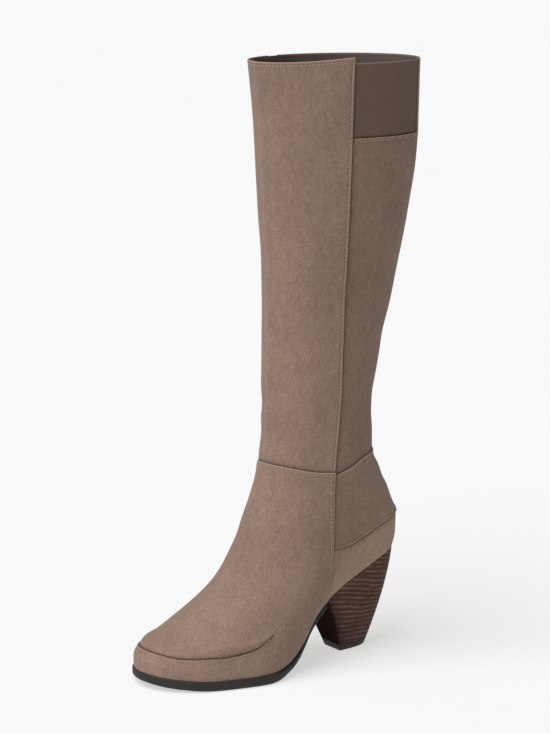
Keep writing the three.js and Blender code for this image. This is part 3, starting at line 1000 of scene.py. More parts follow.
def solvePanel(name, settings):
    angle, level = solveGrid(settings["columns"], settings["rows"], settings["guess"])
    sides = {"left": np.s_[:, 0], "right": np.s_[:, -1], "bottom": np.s_[0], "top": np.s_[-1]}
    for side in settings["edges"]:
        cutLines[f"{name}.{side}"] = angle[sides[side]], level[sides[side]]
    if name == "toeWall":
        cutLines["toeWall.top"] = angle[-1, 5:-5], level[-1, 5:-5]
    if name == "frontPanel":
        shinColumn = int(np.argmin(np.abs(angle[0] - shinLine(0.0))))
        cutLines["shin"] = angle[8:, shinColumn], level[8:, shinColumn]
    if name == "backPanelOuter":
        column, row = notchCorner()
        cutLines["notch.bottom"] = angle[row, : column + 1], level[row, : column + 1]
        cutLines["notch.side"] = angle[row:, column], level[row:, column]
        cutLines["backPanelOuter.top"] = angle[-1, column:], level[-1, column:]
    return place(skinPoint(angle, level, settings["lift"](angle, level) + relief(angle, level)))


def lineOn(name, line):
    angle, level = cutLines[line]
    return place(skinPoint(angle, level, panelSettings[name]["lift"](angle, level) + relief(angle, level)))


def densely(line):
    steps = lengthOf(np.diff(line, axis=0))
    along = np.concatenate([[0], np.cumsum(steps)])
    at = np.arange(0, along[-1], 0.5 * mm)
    return np.stack([np.interp(at, along, line[:, k]) for k in range(3)], axis=-1)


def markDistance(piece, name, lines, reach=1.0):
    farthest = 20.0
    values = np.full(len(piece.data.vertices), farthest)
    if lines:
        points = np.concatenate([densely(line) for line in lines])
        tree = kdtree.KDTree(len(points))
        for k, point in enumerate(points):
            tree.insert(point, k)
        tree.balance()
        values = [min(tree.find(v.co)[2] / mm, farthest) / reach for v in piece.data.vertices]
    addAttribute(piece, name, values)


def notchCorner():
    settings = panelSettings["backPanelOuter"]
    return sum(stop[2] for stop in settings["columns"][:8]), sum(stop[2] for stop in settings["rows"][:6])


def cutNotch(piece, columns, rows):
    goreColumn, goreRow = notchCorner()
    column = np.array([(face.center.x + 0.5) * columns for face in piece.data.polygons])
    row = np.array([(face.center.y + 0.5) * rows for face in piece.data.polygons])
    editMesh(piece, (column < goreColumn) & (row > goreRow), lambda: bpy.ops.mesh.delete(type="FACE"))


def buildPanel(name, settings):
    points = solvePanel(name, settings)
    rows, columns = points.shape[0] - 1, points.shape[1] - 1
    piece = addGrid(name, columns, rows)
    if name == "backPanelOuter":
        cutNotch(piece, columns, rows)
    shapeGrid(piece, points)
    editMesh(piece, True, mergeDoubles)
    applyModifier(piece, "SOLIDIFY", {"thickness": settings["thickness"] * mm, "offset": -1})
    bevel = {"width": 0.38 * mm, "segments": 3, "limit_method": "ANGLE", "angle_limit": math.radians(55)}
    applyModifier(piece, "BEVEL", bevel)
    smoothFaces(piece, 60)
    return piece


panels = {name: buildPanel(name, settings) for name, settings in panelSettings.items()}
print("suede panels shaped")

# slot, material, worn edges, edges of other pieces that lie on this one (a painted shadow is laid beside
# them), CAD nodes it stands for
panelFinish = {
    "frontPanel": (
        "suede",
        suede,
        ("frontPanel.left", "frontPanel.right", "frontPanel.top"),
        ("vamp.top",),
        ("shaft",),
    ),
    "backPanelOuter": (
        "suede",
        shadedBackSuede,
        ("backPanelOuter.top", "notch.bottom"),
        ("frontPanel.right", "quarterOuter.top"),
        ("shaft",),
    ),
    "backPanelInner": (
        "suede",
        shadedBackSuede,
        ("backPanelInner.right", "backPanelInner.top"),
        ("quarterInner.top",),
        ("shaft",),
    ),
    "gorePanel": (
        "elastic",
        elastic,
        ("gorePanel.top",),
        ("notch.bottom", "notch.side", "frontPanel.right"),
        ("gore",),
    ),
    "vamp": ("suede", suede, ("vamp.left", "vamp.right", "vamp.top"), ("toeWall.top",), ("upper",)),
    "toeWall": ("suede", litWallSuede, (), ("toeWall.top",), ("upper",)),
    "quarterOuter": (
        "suede",
        suede,
        ("quarterOuter.top", "quarterOuter.bottom"),
        ("vamp.right",),
        ("upper",),
    ),
    "quarterInner": (
        "suede",
        suede,
        ("quarterInner.right", "quarterInner.top", "quarterInner.bottom"),
        (),
        ("upper",),
    ),
    "heelFoxing": (
        "suede",
        litFoxingSuede,
        ("heelFoxing.right",),
        ("quarterOuter.bottom", "quarterInner.bottom", "vamp.right"),
        ("upper",),
    ),
    "legLining": ("lining", lining, (), (), ()),
}
shadowReach = {"vamp": 0.55, "gorePanel": 1.0}
for name, (slotName, material, worn, covered, replaced) in panelFinish.items():
    markDistance(panels[name], "rim", [lineOn(name, line) for line in worn])
    # distances to the edges lying on this piece, which place the painted shadow beside them
    markDistance(panels[name], "tuck", [lineOn(name, line) for line in covered], shadowReach.get(name, 1.8))
    # distance to the shin line, for the painted highlight on the shin ridge
    markDistance(panels[name], "press", [lineOn(name, "shin")] if name == "frontPanel" else [])
    finishPiece(panels[name], "boot", slotName, material, *replaced)
print("panel edges marked")

# stitching
stitch = {"length": 2.2, "pitch": 3.2, "width": 0.75, "height": 0.6, "proud": 0.12, "sides": 6, "rings": 4}


def makeLozenge(name, length, width, height, sides, rings):
    bpy.ops.object.select_all(action="DESELECT")
    lying = (0, math.pi / 2, 0)
    tube = {"vertices": sides, "radius": 0.5, "depth": 1, "end_fill_type": "NGON", "rotation": lying}
    bpy.ops.mesh.primitive_cylinder_add(**tube)
    piece = bpy.context.object
    piece.name = name
    bpy.ops.object.transform_apply(location=False, rotation=True, scale=False)
    along = [abs(face.normal.x) < 0.5 for face in piece.data.polygons]
    editMesh(piece, along, lambda: bpy.ops.mesh.subdivide_edgering(number_cuts=rings))
    co = vertexArray(piece)
    narrowing = np.sqrt(np.clip(1 - (1.75 * co[:, 0]) ** 2 * 0.98, 0.06, 1))
    co[:, 1] *= narrowing * width
    co[:, 2] = co[:, 2] * narrowing * height - 2.2 * height * np.abs(co[:, 0]) ** 3
    co[:, 0] *= length
    setVertices(piece, co * mm)
    return piece


def copiesOf(piece, name, centres, forwards, normals):
    co = vertexArray(piece)
    faces = [np.array(face.vertices) for face in piece.data.polygons]
    forwards = forwards / lengthOf(forwards)[:, None]
    sideways = np.cross(normals, forwards)
    sideways = sideways / lengthOf(sideways)[:, None]
    upwards = np.cross(forwards, sideways)
    axes = np.stack([forwards, sideways, upwards], axis=1)
    allPoints = np.einsum("vk,nkd->nvd", co, axes) + centres[:, None, :]
    allFaces = [(face + k * len(co)).tolist() for k in range(len(centres)) for face in faces]
    mesh = bpy.data.meshes.new(name)
    mesh.from_pydata(allPoints.reshape(-1, 3).tolist(), [], allFaces)
    made = bpy.data.objects.new(name, mesh)
    bpy.context.scene.collection.objects.link(made)
    smoothFaces(made, 60)
    return made


def evenlyAlong(points, normals, pitch):
    steps = lengthOf(np.diff(points, axis=0))
    along = np.concatenate([[0], np.cumsum(steps)])
    count = max(int(along[-1] / (pitch * mm)), 2)
    at = (np.arange(count) + 0.5) * along[-1] / count
    ahead = at + 0.2 * mm

    def pick(values, where):
        return np.stack([np.interp(where, along, values[:, k]) for k in range(3)], axis=-1)

    return pick(points, at), pick(points, ahead) - pick(points, at), pick(normals, at)


def runUp(line, offset, fromLevel, toLevel, lift, proud):
    level = np.linspace(fromLevel, toLevel, 500)
    angle = line(level)
    angle = angle + offset / roundLength(angle, level)
    return runOn(angle, level, lift, proud)


def runRound(line, offset, fromAngle, toAngle, lift, proud):
    angle = np.linspace(fromAngle, toAngle, 500)
    level = line(angle)
    level = level + offset / upLength(level, angle)
    return runOn(angle, level, lift, proud)


def runOn(angle, level, lift, proud):
    height = lift(angle, level) + relief(angle, level) + proud
    return place(skinPoint(angle, level, height)), normalAt(angle, level)


def crossing(line, rowLine, guess):
    angle = np.array([math.radians(guess)])
    for _ in range(6):
        level = rowLine(angle)
        angle = line(level)
    return float(angle[0]), float(level[0])


def insideOfLining(angle, level):
    return liningLift(angle, level) - panelSettings["legLining"]["thickness"] - stitch["proud"]


def makeStitches():
    inset = 2.2
    proud = stitch["proud"]
    seamFoot = crossing(sideSeam, vampTop, 70)
    zipFoot = crossing(zipFrontEdge, vampTop, -75)
    zipHeel = crossing(zipBackEdge, quarterTop, 285)
    corner = sideSeam(np.array(collarLevel))
    collarInset = -2.5
    collarFront = (zipFrontEdge(np.array(collarLevel)) + 0.04, corner - 0.045)
    notchLevel = float(goreBottom(0.0))
    goreAngle = float(goreBack(0.0))
    notchStart = sideSeam(np.array(notchLevel)) + 0.03
    heelEnd = zipBackEdge(np.array(collarLevel)) - 0.04
    toeEnd = toeWall["end"] - 0.015
    runs = {
        "legStitches": [
            runUp(sideSeam, -1.5, seamFoot[1] + 0.02, collarLevel - 0.02, frontLift, proud),
            runUp(zipFrontEdge, inset, zipFoot[1] + 0.02, collarLevel - 0.06, frontLift, proud),
            runUp(zipBackEdge, -inset, zipHeel[1] + 0.02, collarLevel - 0.06, backLift, proud),
            runUp(goreBack, inset, notchLevel - 0.04, collarLevel - 0.06, backLift, proud),
            runRound(goreBottom, -inset, notchStart, goreAngle + 0.04, backLift, proud),
            runRound(frontCollar, collarInset, *collarFront, frontLift, proud),
            runRound(collar, collarInset, goreAngle + 0.04, math.pi - 0.01, backLift, proud),
            runRound(collar, collarInset, math.pi + 0.01, heelEnd, backLift, proud),
        ],
        "footStitches": [
            runRound(vampTop, -inset, zipFoot[0] + 0.05, seamFoot[0] - 0.05, vampLift, proud),
            runUp(sideSeam, -3.1, 0.12, seamFoot[1] - 0.05, vampLift, proud),
            runUp(zipFrontEdge, inset, 0.25, zipFoot[1] - 0.05, vampLift, proud),
            runRound(quarterTop, -inset, seamFoot[0] + 0.02, math.pi - 0.02, quarterLift, proud),
            runRound(quarterTop, -inset, math.pi + 0.02, zipHeel[0] - 0.05, quarterLift, proud),
            runUp(zipBackEdge, -inset, 3.2, zipHeel[1] - 0.05, quarterLift, proud),
            runRound(toeWallTop, -1.9, -toeEnd, toeEnd, toeWallLift, proud),
        ],
    }
    innerRim = runRound(liningTop, -1.9, corner + 0.05, fullTurn - 1.25, insideOfLining, 0)
    runs["liningStitches"] = [(innerRim[0], -innerRim[1])]
    base = makeLozenge("oneStitch", *(stitch[key] for key in ("length", "width", "height", "sides", "rings")))
    for name, rows in runs.items():
        parts = [evenlyAlong(points, normals, stitch["pitch"]) for points, normals in rows]
        centres, forwards, normals = (np.concatenate(column) for column in zip(*parts))
        piece = copiesOf(base, name, centres, forwards, normals)
        finishPiece(piece, "boot", "thread", liningThread if name == "liningStitches" else thread)
    bpy.data.objects.remove(base)


makeStitches()
print("seams stitched")

# sole, heel and tip
outsoleForm = {"edge": 1.8, "endY": -33.8, "rows": 150, "columns": 20, "treadPitch": 6, "treadDepth": 0.7}
outsoleRim = {
    "cells": (0, 1, 2, 3, 4),
    "away": (0, 0.35, 0.9, 1.8, 4.5),
    "topRound": 0.8,
    "bottomRound": 1.5,
}
outsoleToe = {"angle": 0.55, "reach": 60}


def makeRubber(name, base, worn, roughness):
    finish = Finish(name, {"Specular IOR Level": 0.3})
    where = finish.here()
    grain = finish.noise(where, 1.2, detail=3.0)
    scuff = finish.noise(where, 12, detail=4.0, roughness=0.65)
    dust = finish.ranged(scuff, 0.5, 0.72)
    tone = finish.blend(base, worn, dust * 0.45 + grain * 0.15)
    rough = roughness + grain * 0.12 + dust * 0.15
    return finish.shade({"Base Color": tone, "Roughness": rough, "Normal": finish.bump(grain, 0.18, 0.2)})


def outlinePoint(angle, outwards):
    roundWay = lastSlopes(angle, np.zeros_like(angle))[0]
    normal = np.stack([roundWay[..., 1], -roundWay[..., 0], np.zeros_like(angle)], axis=-1)
    normal = normal / lengthOf(normal)[..., None]
    return lastPoint(angle, 0) + normal * outwards


def outsoleTop(y):
    return sole["z"](y) - last["soleGap"]


def outsoleBottom(y):
    slope = (sole["z"](y + 1) - sole["z"](y - 1)) / 2
    return outsoleTop(y) - sole["thickness"](y) * np.sqrt(1 + slope**2)


def soleGrid(along, side):
    # the rows bend round the toe, so that none is squeezed to a point there
    edge, rows, half = outsoleForm["edge"], outsoleForm["rows"], outsoleForm["columns"] / 2
    cells, away = outsoleRim["cells"], outsoleRim["away"]
    startY = float(lastPoint(outsoleToe["angle"], 0)[1])
    length = outsoleForm["endY"] - startY
    gone = np.interp(along * rows, [*cells, rows], [*away, length])
    angle = angleAtY(np.zeros_like(gone), startY + gone)
    outer, inner = outlinePoint(angle, edge), outlinePoint(-angle, edge)
    width = lengthOf(outer - inner)
    cell = (1 - np.abs(side)) * half
    middle = mixed(away[-1], width / 2, (cell - cells[-1]) / (half - cells[-1]))
    inward = np.where(cell < cells[-1], np.interp(cell, cells, away), middle)
    share = 0.5 + np.sign(side) * (0.5 - inward / width)
    corner = np.full_like(gone, outsoleToe["angle"])
    flatFront = mixed(outlinePoint(-corner, edge), outlinePoint(corner, edge), share[:, None])
    roundFront = outlinePoint(np.arcsin(np.sin(corner) * np.clip(2 * share - 1, -1, 1)), edge)
    bend = np.clip(1 - gone / outsoleToe["reach"], 0, 1) ** 2
    return mixed(inner, outer, share[:, None]) + (roundFront - flatFront) * bend[:, None], inward


def rimDistance(points, onRim):
    end = float(angleAtY(np.array(0.0), outsoleForm["endY"]))
    outline = outlinePoint(np.linspace(-end, end, 2400), outsoleForm["edge"])
    tree = kdtree.KDTree(len(outline))
    for k, (x, y, _) in enumerate(outline):
        tree.insert((x, y, 0), k)
    tree.balance()
    distance = np.array([tree.find((x, y, 0))[2] for x, y, _ in points])
    return np.where(onRim, 0.0, distance)


def roundOff(distance, radius):
    return radius - np.sqrt(radius**2 - (radius - np.clip(distance, 0, radius)) ** 2)


def makeOutsole():
    form = outsoleForm
    piece = addGrid("walkingSole", form["columns"], form["rows"])
    applyModifier(piece, "SOLIDIFY", {"thickness": 1.0, "offset": 1})
    co = vertexArray(piece)
    along, side = co[:, 1] + 0.5, 2 * co[:, 0]
    points, inward = soleGrid(along, side)
    y = points[:, 1]
    inside = smoothStep(inward, 5, 8) * (1 - smoothStep(y, -95, -84)) * smoothStep(y, -174, -168)
    tread = form["treadDepth"] * np.clip(np.cos(fullTurn * y / form["treadPitch"]), 0, 1) * inside
    distance = rimDistance(points, (np.abs(side) > 0.999) | (along < 0.001))
    top = outsoleTop(y) - roundOff(distance, outsoleRim["topRound"])
    thinning = 1 - 0.6 * smoothStep(y, -84, -60)
    bottom = outsoleBottom(y) + tread + roundOff(distance, outsoleRim["bottomRound"] * thinning)
    points[:, 2] = np.where(co[:, 2] > 0.5, top, bottom)
    setVertices(piece, place(points))
    editMesh(piece, True, mergeDoubles, faceOutwards)
    smoothFaces(piece, 50)
    rubber = makeRubber("soleRubber", colour(38, 37, 36), colour(62, 59, 57), 0.5)
    finishPiece(piece, "boot", "outsole_rubber", rubber, "outsole")


stack = {
    "layer": 3.9,
    "rowsPerLayer": 8,
    "groove": 0.1,
    "roundColumns": 84,
    "frontColumns": 14,
    "from": 6,
    "to": 86,
    "wave": 0.22,
}
stackLean = {"low": 0.06, "high": 0.24, "centreY": 10}


def tipOutline(turn):
    angle = math.pi * turn
    power = 2 / heelForm["roundness"]
    across = np.sign(np.cos(angle)) * np.abs(np.cos(angle)) ** power
    back = np.clip(np.sin(angle), 0, 1) ** power
    x = heelForm["centreX"] + heelForm["halfWidth"] * across
    return np.stack([x, mixed(heelForm["breastY"], heelForm["backY"], back), np.zeros_like(x)], axis=-1)


def seatOutline(turn):
    start = float(angleAtY(np.array(0.0), heelForm["seatY"]))
    points = outlinePoint(mixed(start, fullTurn - start, turn), 0)
    points[..., 2] = sole["z"](points[..., 1]) - last["soleGap"]
    return points


def heelSection(columns, height):
    onFront = columns > stack["roundColumns"]
    cross = np.where(onFront, (columns - stack["roundColumns"]) / stack["frontColumns"], 0.0)
    turn = np.where(onFront, 1.0, columns / stack["roundColumns"])
    across = cross[..., None]
    seat = mixed(seatOutline(turn), seatOutline(np.zeros_like(turn)), across)
    tip = mixed(tipOutline(turn), tipOutline(np.zeros_like(turn)), across)
    share = np.clip(height / seat[..., 2], 0, 1)
    frontFlare = share * (0.75 + 0.25 * share**2)
    backFlare = 1 - (1 - share) ** 1.5
    flare = mixed(frontFlare, backFlare, np.clip(np.sin(math.pi * turn), 0, 1) ** 0.8)
    points = mixed(tip, seat, flare[..., None])
    hollow = np.sin(math.pi * cross) * np.sin(math.pi * np.minimum(share, 0.5))
    points[..., 1] += heelForm["hollow"] * hollow
    underSeat = sole["z"](points[..., 1]) - last["soleGap"]
    points[..., 2] = np.where(share >= 1, underSeat, height)
    return points


def heelOutwards(points):
    along = np.roll(points, -1, axis=1) - np.roll(points, 1, axis=1)
    normal = np.stack([along[..., 1], -along[..., 0], np.zeros(along.shape[:-1])], axis=-1)
    return normal / np.maximum(lengthOf(normal), 1e-9)[..., None]


def makeHeelBlock(name, heights, inset):
    columns = stack["roundColumns"] + stack["frontColumns"]
    heights = np.array(heights, float)
    grid = np.arange(columns, dtype=float)[None, :] + np.zeros((len(heights), 1))
    points = heelSection(grid, heights[:, None] + np.zeros((1, columns)))
    points = points - heelOutwards(points) * inset(points)[..., None]
    points = np.concatenate([points, points[:, :1]], axis=1)
    piece = addGrid(name, columns, len(heights) - 1)
    shapeGrid(piece, place(points))
    editMesh(piece, True, mergeDoubles)
    editMesh(piece, True, lambda: bpy.ops.mesh.fill_holes(sides=0))
    return piece


def stackWave(points):
    around = np.arctan2(points[..., 0], points[..., 1])
    height = points[..., 2]
    return stack["wave"] * (np.sin(3 * around + height / 9) + 0.6 * np.sin(7 * around - height / 5))


def layerAt(points):
    lean = mixed(stackLean["low"], stackLean["high"], smoothStep(points[..., 2], 8, 62))
    tilted = points[..., 2] + lean * (points[..., 1] - stackLean["centreY"])
    return (tilted + stackWave(points)) / stack["layer"]


def stackInset(points):
    phase = layerAt(points) % 1
    onFront = np.zeros(phase.shape, bool)
    onFront[:, stack["roundColumns"] + 1 :] = True
    return np.where(onFront, 0.0, stack["groove"] * (0.5 + 0.5 * np.cos(fullTurn * phase)) ** 3)


def tipInset(points):
    low = np.clip((0.9 - points[..., 2]) / 0.9, 0, 1)
    high = np.clip((points[..., 2] - 5.2) / 0.5, 0, 1)
    return 0.7 * (1 - np.sqrt(1 - low**2 * 0.98)) + 0.3 * high


def makeStackedLeather():
    finish = Finish("stackedLeather", {"Specular IOR Level": 0.02})
    where = finish.here()
    sway = finish.noise(finish.stretched(where, (1, 1, 0.5)), 14, detail=3.0)
    layer = finish.attribute("layer") + (sway - 0.5) * 0.22
    phase = layer.applied("FRACT")
    index = layer.applied("FLOOR")
    random = finish.node("ShaderNodeTexWhiteNoise", {"noise_dimensions": "1D"}, {"W": index}, output="Value")
    fibres = finish.noise(finish.stretched(where, (0.16, 0.16, 1)), 0.7, detail=4.0, roughness=0.65)
    smear = finish.noise(finish.stretched(where, (0.3, 0.3, 1)), 3.5, detail=3.0)
    joint = phase.near(0.0, 0.07) + phase.near(1.0, 0.07)
    # a lighter band in each layer: partly the stack's own lighter leather, partly a painted highlight along
    # each layer's rounded face
    light = finish.ranged(phase, 0.42, 0.5) - finish.ranged(phase, 0.62, 0.7)
    share = finish.ranged(fibres * 0.6 + smear * 0.4, 0.34, 0.66)
    tone = finish.blend(colour(64, 44, 38), colour(104, 80, 70), share * 0.5 + random * 0.25)
    lit = light * finish.ranged(smear, 0.28, 0.6) * (0.4 + fibres * 0.55)
    tone = finish.blend(tone, colour(130, 104, 92), lit)
    tone = finish.blend(tone, colour(30, 18, 15), joint * (0.35 + smear * 0.6))
    # painted shade: the stack darkens within a few millimetres of the breast corners
    tone = finish.blend(tone, colour(44, 27, 22), finish.attribute("corner").near(0.0, 6.5) * 0.7)
    # the breast face turns near black: partly its own dark lacquered finish, partly painted shade
    tone = finish.blend(tone, colour(34, 19, 15), finish.attribute("breast"))
    rough = 0.42 + share * 0.16 + finish.attribute("breast") * 0.42
    bumped = finish.bump(fibres * 0.5 - joint, 0.2, 0.15)
    return finish.shade({"Base Color": tone, "Roughness": rough, "Normal": bumped})


def makeHeel():
    steps = np.arange(stack["from"], stack["to"], stack["layer"] / stack["rowsPerLayer"])
    piece = makeHeelBlock("stackedHeel", [*steps, stack["to"]], stackInset)
    values = np.zeros(len(piece.data.vertices))
    for face in piece.data.polygons:
        if face.normal.y < -0.6:
            values[list(face.vertices)] = 1
    addAttribute(piece, "breast", values)
    # the breast corners, from which the painted shade is measured
    turns = np.array([[0, stack["roundColumns"]]] * 40, float)
    corners = heelSection(turns, np.linspace(stack["from"], 60, 40)[:, None] + np.zeros((1, 2)))
    markDistance(piece, "corner", [place(corners[:, 0]), place(corners[:, 1])])
    addAttribute(piece, "layer", layerAt((vertexArray(piece) - lastOrigin) / mm))
    smoothFaces(piece, 38)
    finishPiece(piece, "boot", "stacked_leather", makeStackedLeather(), "heel")
    piece = makeHeelBlock("heelTip", [0, 0.12, 0.35, 0.7, 1.2, 3, 5, 5.3, 5.7], tipInset)
    smoothFaces(piece, 45)
    rubber = makeRubber("tipRubber", colour(31, 29, 28), colour(60, 56, 53), 0.5)
    finishPiece(piece, "boot", "tip_rubber", rubber, "heel_tip")


makeOutsole()
makeHeel()
print("sole and heel made")


def dressInsole():
    finish = Finish("insoleBoard", {"Roughness": 0.8})
    where = finish.here()
    cloud = finish.noise(where, 10, detail=3.0)
    grain = finish.noise(where, 0.9, detail=2.0)
    tone = finish.blend(colour(86, 76, 70), colour(104, 93, 86), cloud * 0.6 + grain * 0.3)
    material = finish.shade({"Base Color": tone, "Normal": finish.bump(grain, 0.3, 0.2)})
    insole = nodes["insole"]
    insole.data.materials.clear()
    insole.data.materials.append(material)


dressInsole()

# zip, slider and pull
zipForm = {
    "tapeUnder": 1.5,
    "tapeDepth": -1.15,
    "bed": 0.35,
    "toothPitch": 1.35,
    "toothOut": 1.15,
    "toothDepth": -0.45,
}
tooth = {"length": 2.3, "width": 0.85, "height": 1.0, "sides": 6, "rings": 2}
sliderForm = {"z": 462, "length": 14, "topWidth": 9.4, "bottomWidth": 6.4, "face": 0.3, "thickness": 1.4}
crownForm = {"halfLength": 4.0, "rise": 2.9, "wire": 0.55}
pullForm = {
    "ring": 2.3,
    "wire": 0.6,
    "stretch": 1.25,
    "tabCentre": -13.4,
    "halfHeight": 7.1,
    "halfWidth": 6.2,
    "thickness": 1.2,
}


def makeMetal(name, base, worn, roughness):
    finish = Finish(name, {"Metallic": 1.0})
    where = finish.here()
    brush = finish.noise(finish.stretched(where, (1, 1, 0.2)), 0.5, detail=3.0)
    smudge = finish.noise(where, 3, detail=3.0)
    tone = finish.blend(base, worn, smudge * 0.5 + brush * 0.3)
    rough = roughness + smudge * 0.18
    return finish.shade({"Base Color": tone, "Roughness": rough, "Normal": finish.bump(brush, 0.15, 0.05)})


def tapeLift(angle, level):
    away = (angle - zipMiddle(level)) * roundLength(angle, level)
    return zipForm["tapeDepth"] + zipForm["bed"] * fade(np.abs(away) - 1.2, 1.3) * smoothStep(level, 3, 6)


def makeTape():
    under = zipForm["tapeUnder"]

    def half(line, side):
        return lambda level: line(level) + side * under / roundLength(line(level), level)

    def frontEdge(level):
        return zipFrontEdge(level) + fullTurn

    columns = [
        (half(zipBackEdge, -1), 0, 0),
        (zipMiddle, -1.5, 8),
        (zipMiddle, 0, 2),
        (zipMiddle, 1.5, 2),
        (half(frontEdge, 1), 0, 8),
    ]
    rows = [(fixedLine(0.12), 0, 0), (fixedLine(8), 0, 60), (collar, -0.5, 130)]
    angle, level = solveGrid(columns, rows, 290)
    points = place(skinPoint(angle, level, tapeLift(angle, level) + relief(angle, level)))
    piece = addGrid("zipTape", points.shape[1] - 1, points.shape[0] - 1)
    shapeGrid(piece, points)
    applyModifier(piece, "SOLIDIFY", {"thickness": 0.6 * mm, "offset": -1})
    middleColumn = 10
    markDistance(piece, "middle", [points[:, middleColumn]])
    smoothFaces(piece, 60)
    finish = Finish("wovenTape", {"Roughness": 0.9, "Specular IOR Level": 0.15})
    where = finish.here()
    height = finish.node("ShaderNodeSeparateXYZ", sockets={"Vector": where}, output="Z")
    away = finish.attribute("middle")
    twill = (height / mm * 5.5 + away * 5.0).applied("SINE")
    fluff = finish.noise(where, 0.7, detail=3.0)
    tone = finish.blend(colour(52, 38, 30), colour(84, 65, 53), twill * 0.25 + fluff * 0.5 + 0.1)
    tone = finish.blend(tone, colour(104, 84, 70), away.near(3.3, 0.35) * 0.7)
    tone = finish.blend(tone, colour(20, 14, 11), away.near(2.3, 0.4) * 0.7)
    material = finish.shade({"Base Color": tone, "Normal": finish.bump(twill * 0.6 + fluff, 0.4, 0.2)})
    finishPiece(piece, "boot", "zip_tape", material, "zip_tape")


def makeCoil():
    level = np.linspace(0.3, collarLevel - 0.04, 700)
    middle = zipMiddle(level)
    centres, forwards, normals = [], [], []
    for side in (-1, 1):
        angle = middle + side * zipForm["toothOut"] / roundLength(middle, level)
        points = place(skinPoint(angle, level, zipForm["toothDepth"] + relief(angle, level)))
        at, along, out = evenlyAlong(points, normalAt(angle, level), zipForm["toothPitch"])
        shift = along / lengthOf(along)[:, None] * (zipForm["toothPitch"] * mm / 4 * side)
        centres.append(at + shift)
        forwards.append(np.cross(along, out) * side)
        normals.append(out)
    base = makeLozenge("oneTooth", *(tooth[key] for key in ("length", "width", "height", "sides", "rings")))
    piece = copiesOf(base, "zipCoil", *(np.concatenate(values) for values in (centres, forwards, normals)))
    bpy.data.objects.remove(base)
    finish = Finish("coilNylon", {"Roughness": 0.45})
    shade = finish.noise(finish.here(), 1.4, detail=2.0)
    tone = finish.blend(colour(78, 60, 48), colour(128, 104, 86), shade)
    finishPiece(piece, "boot", "zip_coil", finish.shade({"Base Color": tone}), "zip_coil")


def sliderFrame():
    joint = next(joint for joint in frame["joints"] if joint["name"] == "pull_swing")
    across = Vector(joint["axis"]).normalized()
    outwards = Vector((0, 0, 1)).cross(across)
    return Vector(joint["pos_m"]), outwards, across


def toBoot(piece, lean=0.0):
    pivot, outwards, across = sliderFrame()
    axes = Matrix((outwards, -across, Vector((0, 0, 1)))).transposed().to_4x4()
    piece.data.transform(Matrix.Translation(pivot) @ axes @ Matrix.Rotation(lean, 4, "Y"))


def joinPieces(name, parts):
    bpy.ops.object.select_all(action="DESELECT")
    for part in parts:
        part.select_set(True)
    bpy.context.view_layer.objects.active = parts[0]
    bpy.ops.object.join()
    parts[0].name = name
    parts[0].data.name = name
    return parts[0]


def makePlate(name, outline, thickness, bevel):
    bpy.ops.object.select_all(action="DESELECT")
    bpy.ops.mesh.primitive_circle_add(vertices=len(outline), radius=1, fill_type="NGON")
    piece = bpy.context.object
    piece.name = name
    co = np.array([(0, y, z) for y, z in outline])
    setVertices(piece, co * mm)
    applyModifier(piece, "SOLIDIFY", {"thickness": thickness * mm, "offset": 0})
    editMesh(piece, True, faceOutwards)
    settings = {"width": bevel * mm, "segments": 3, "limit_method": "ANGLE", "angle_limit": 0.9}
    applyModifier(piece, "BEVEL", settings)
    return piece


def makeWire(name, radius, wire, stretch, segments=40):
    bpy.ops.object.select_all(action="DESELECT")
    bpy.ops.mesh.primitive_torus_add(
        major_radius=radius * mm, minor_radius=wire * mm, major_segments=segments, minor_segments=12
    )
    piece = bpy.context.object
    piece.name = name
    co = vertexArray(piece)
    setVertices(piece, np.stack([co[:, 2], co[:, 1], co[:, 0] * stretch], axis=-1))
    return piece


def sliderOutline():
    top, bottom, half = sliderForm["topWidth"] / 2, sliderForm["bottomWidth"] / 2, sliderForm["length"] / 2
    rightSide = [
        (0.0, half - 3.6),
        (1.5, half - 0.6),
        (2.6, half),
        (top * 0.8, half - 0.5),
        (top, half - 2.4),
        (top, half - 5),
        (bottom, 3 - half),
        (bottom, 0.8 - half),
        (bottom * 0.7, -half),
        (0.0, -half),
    ]
    return [*rightSide, *[(-y, z) for y, z in reversed(rightSide[1:-1])]]


def makeSlider():
    level = np.array(levelAtHeight(sliderForm["z"]))
    angle = zipMiddle(level)
    _, upWay = lastSlopes(angle, level)
    _, outwards, _ = sliderFrame()
    lean = math.atan2(float(upWay @ np.array(outwards)), float(upWay[2]))
    steel = makeMetal("gunmetal", colour(92, 92, 98), colour(150, 150, 155), 0.25)
    back, front = sliderForm["face"], sliderForm["face"] + sliderForm["thickness"]
    body = makePlate("sliderBody", sliderOutline(), sliderForm["thickness"], 0.35)
    body.data.transform(Matrix.Translation(((back + front) / 2 * mm, 0, 0)))
    rim = [(y * 0.62, z * 0.62 - 0.4) for y, z in sliderOutline()]
    pad = makePlate("sliderPad", rim, 0.5, 0.2)
    pad.data.transform(Matrix.Translation(((front + 0.15) * mm, 0, 0)))
    crown = makeWire("sliderCrown", crownForm["halfLength"], crownForm["wire"], 1.0)
    co = vertexArray(crown)
    steepness = crownForm["rise"] / crownForm["halfLength"]
    flat = np.stack([co[:, 1] * steepness + front * mm, co[:, 0] * 1.5, co[:, 2]], axis=-1)
    setVertices(crown, flat)
    behind = np.array([face.center.x < (back + 0.4) * mm for face in crown.data.polygons])
    editMesh(crown, behind, lambda: bpy.ops.mesh.delete(type="FACE"))
    editMesh(crown, True, lambda: bpy.ops.mesh.fill_holes(sides=0), faceOutwards)
    piece = joinPieces("zipSlider", [body, pad, crown])
    piece.data.transform(Matrix.Translation((-2.9 * mm, 0, 0)))
    toBoot(piece, lean)
    smoothFaces(piece, 45)
    finishPiece(piece, "boot", "gunmetal", steel, "zip_slider")


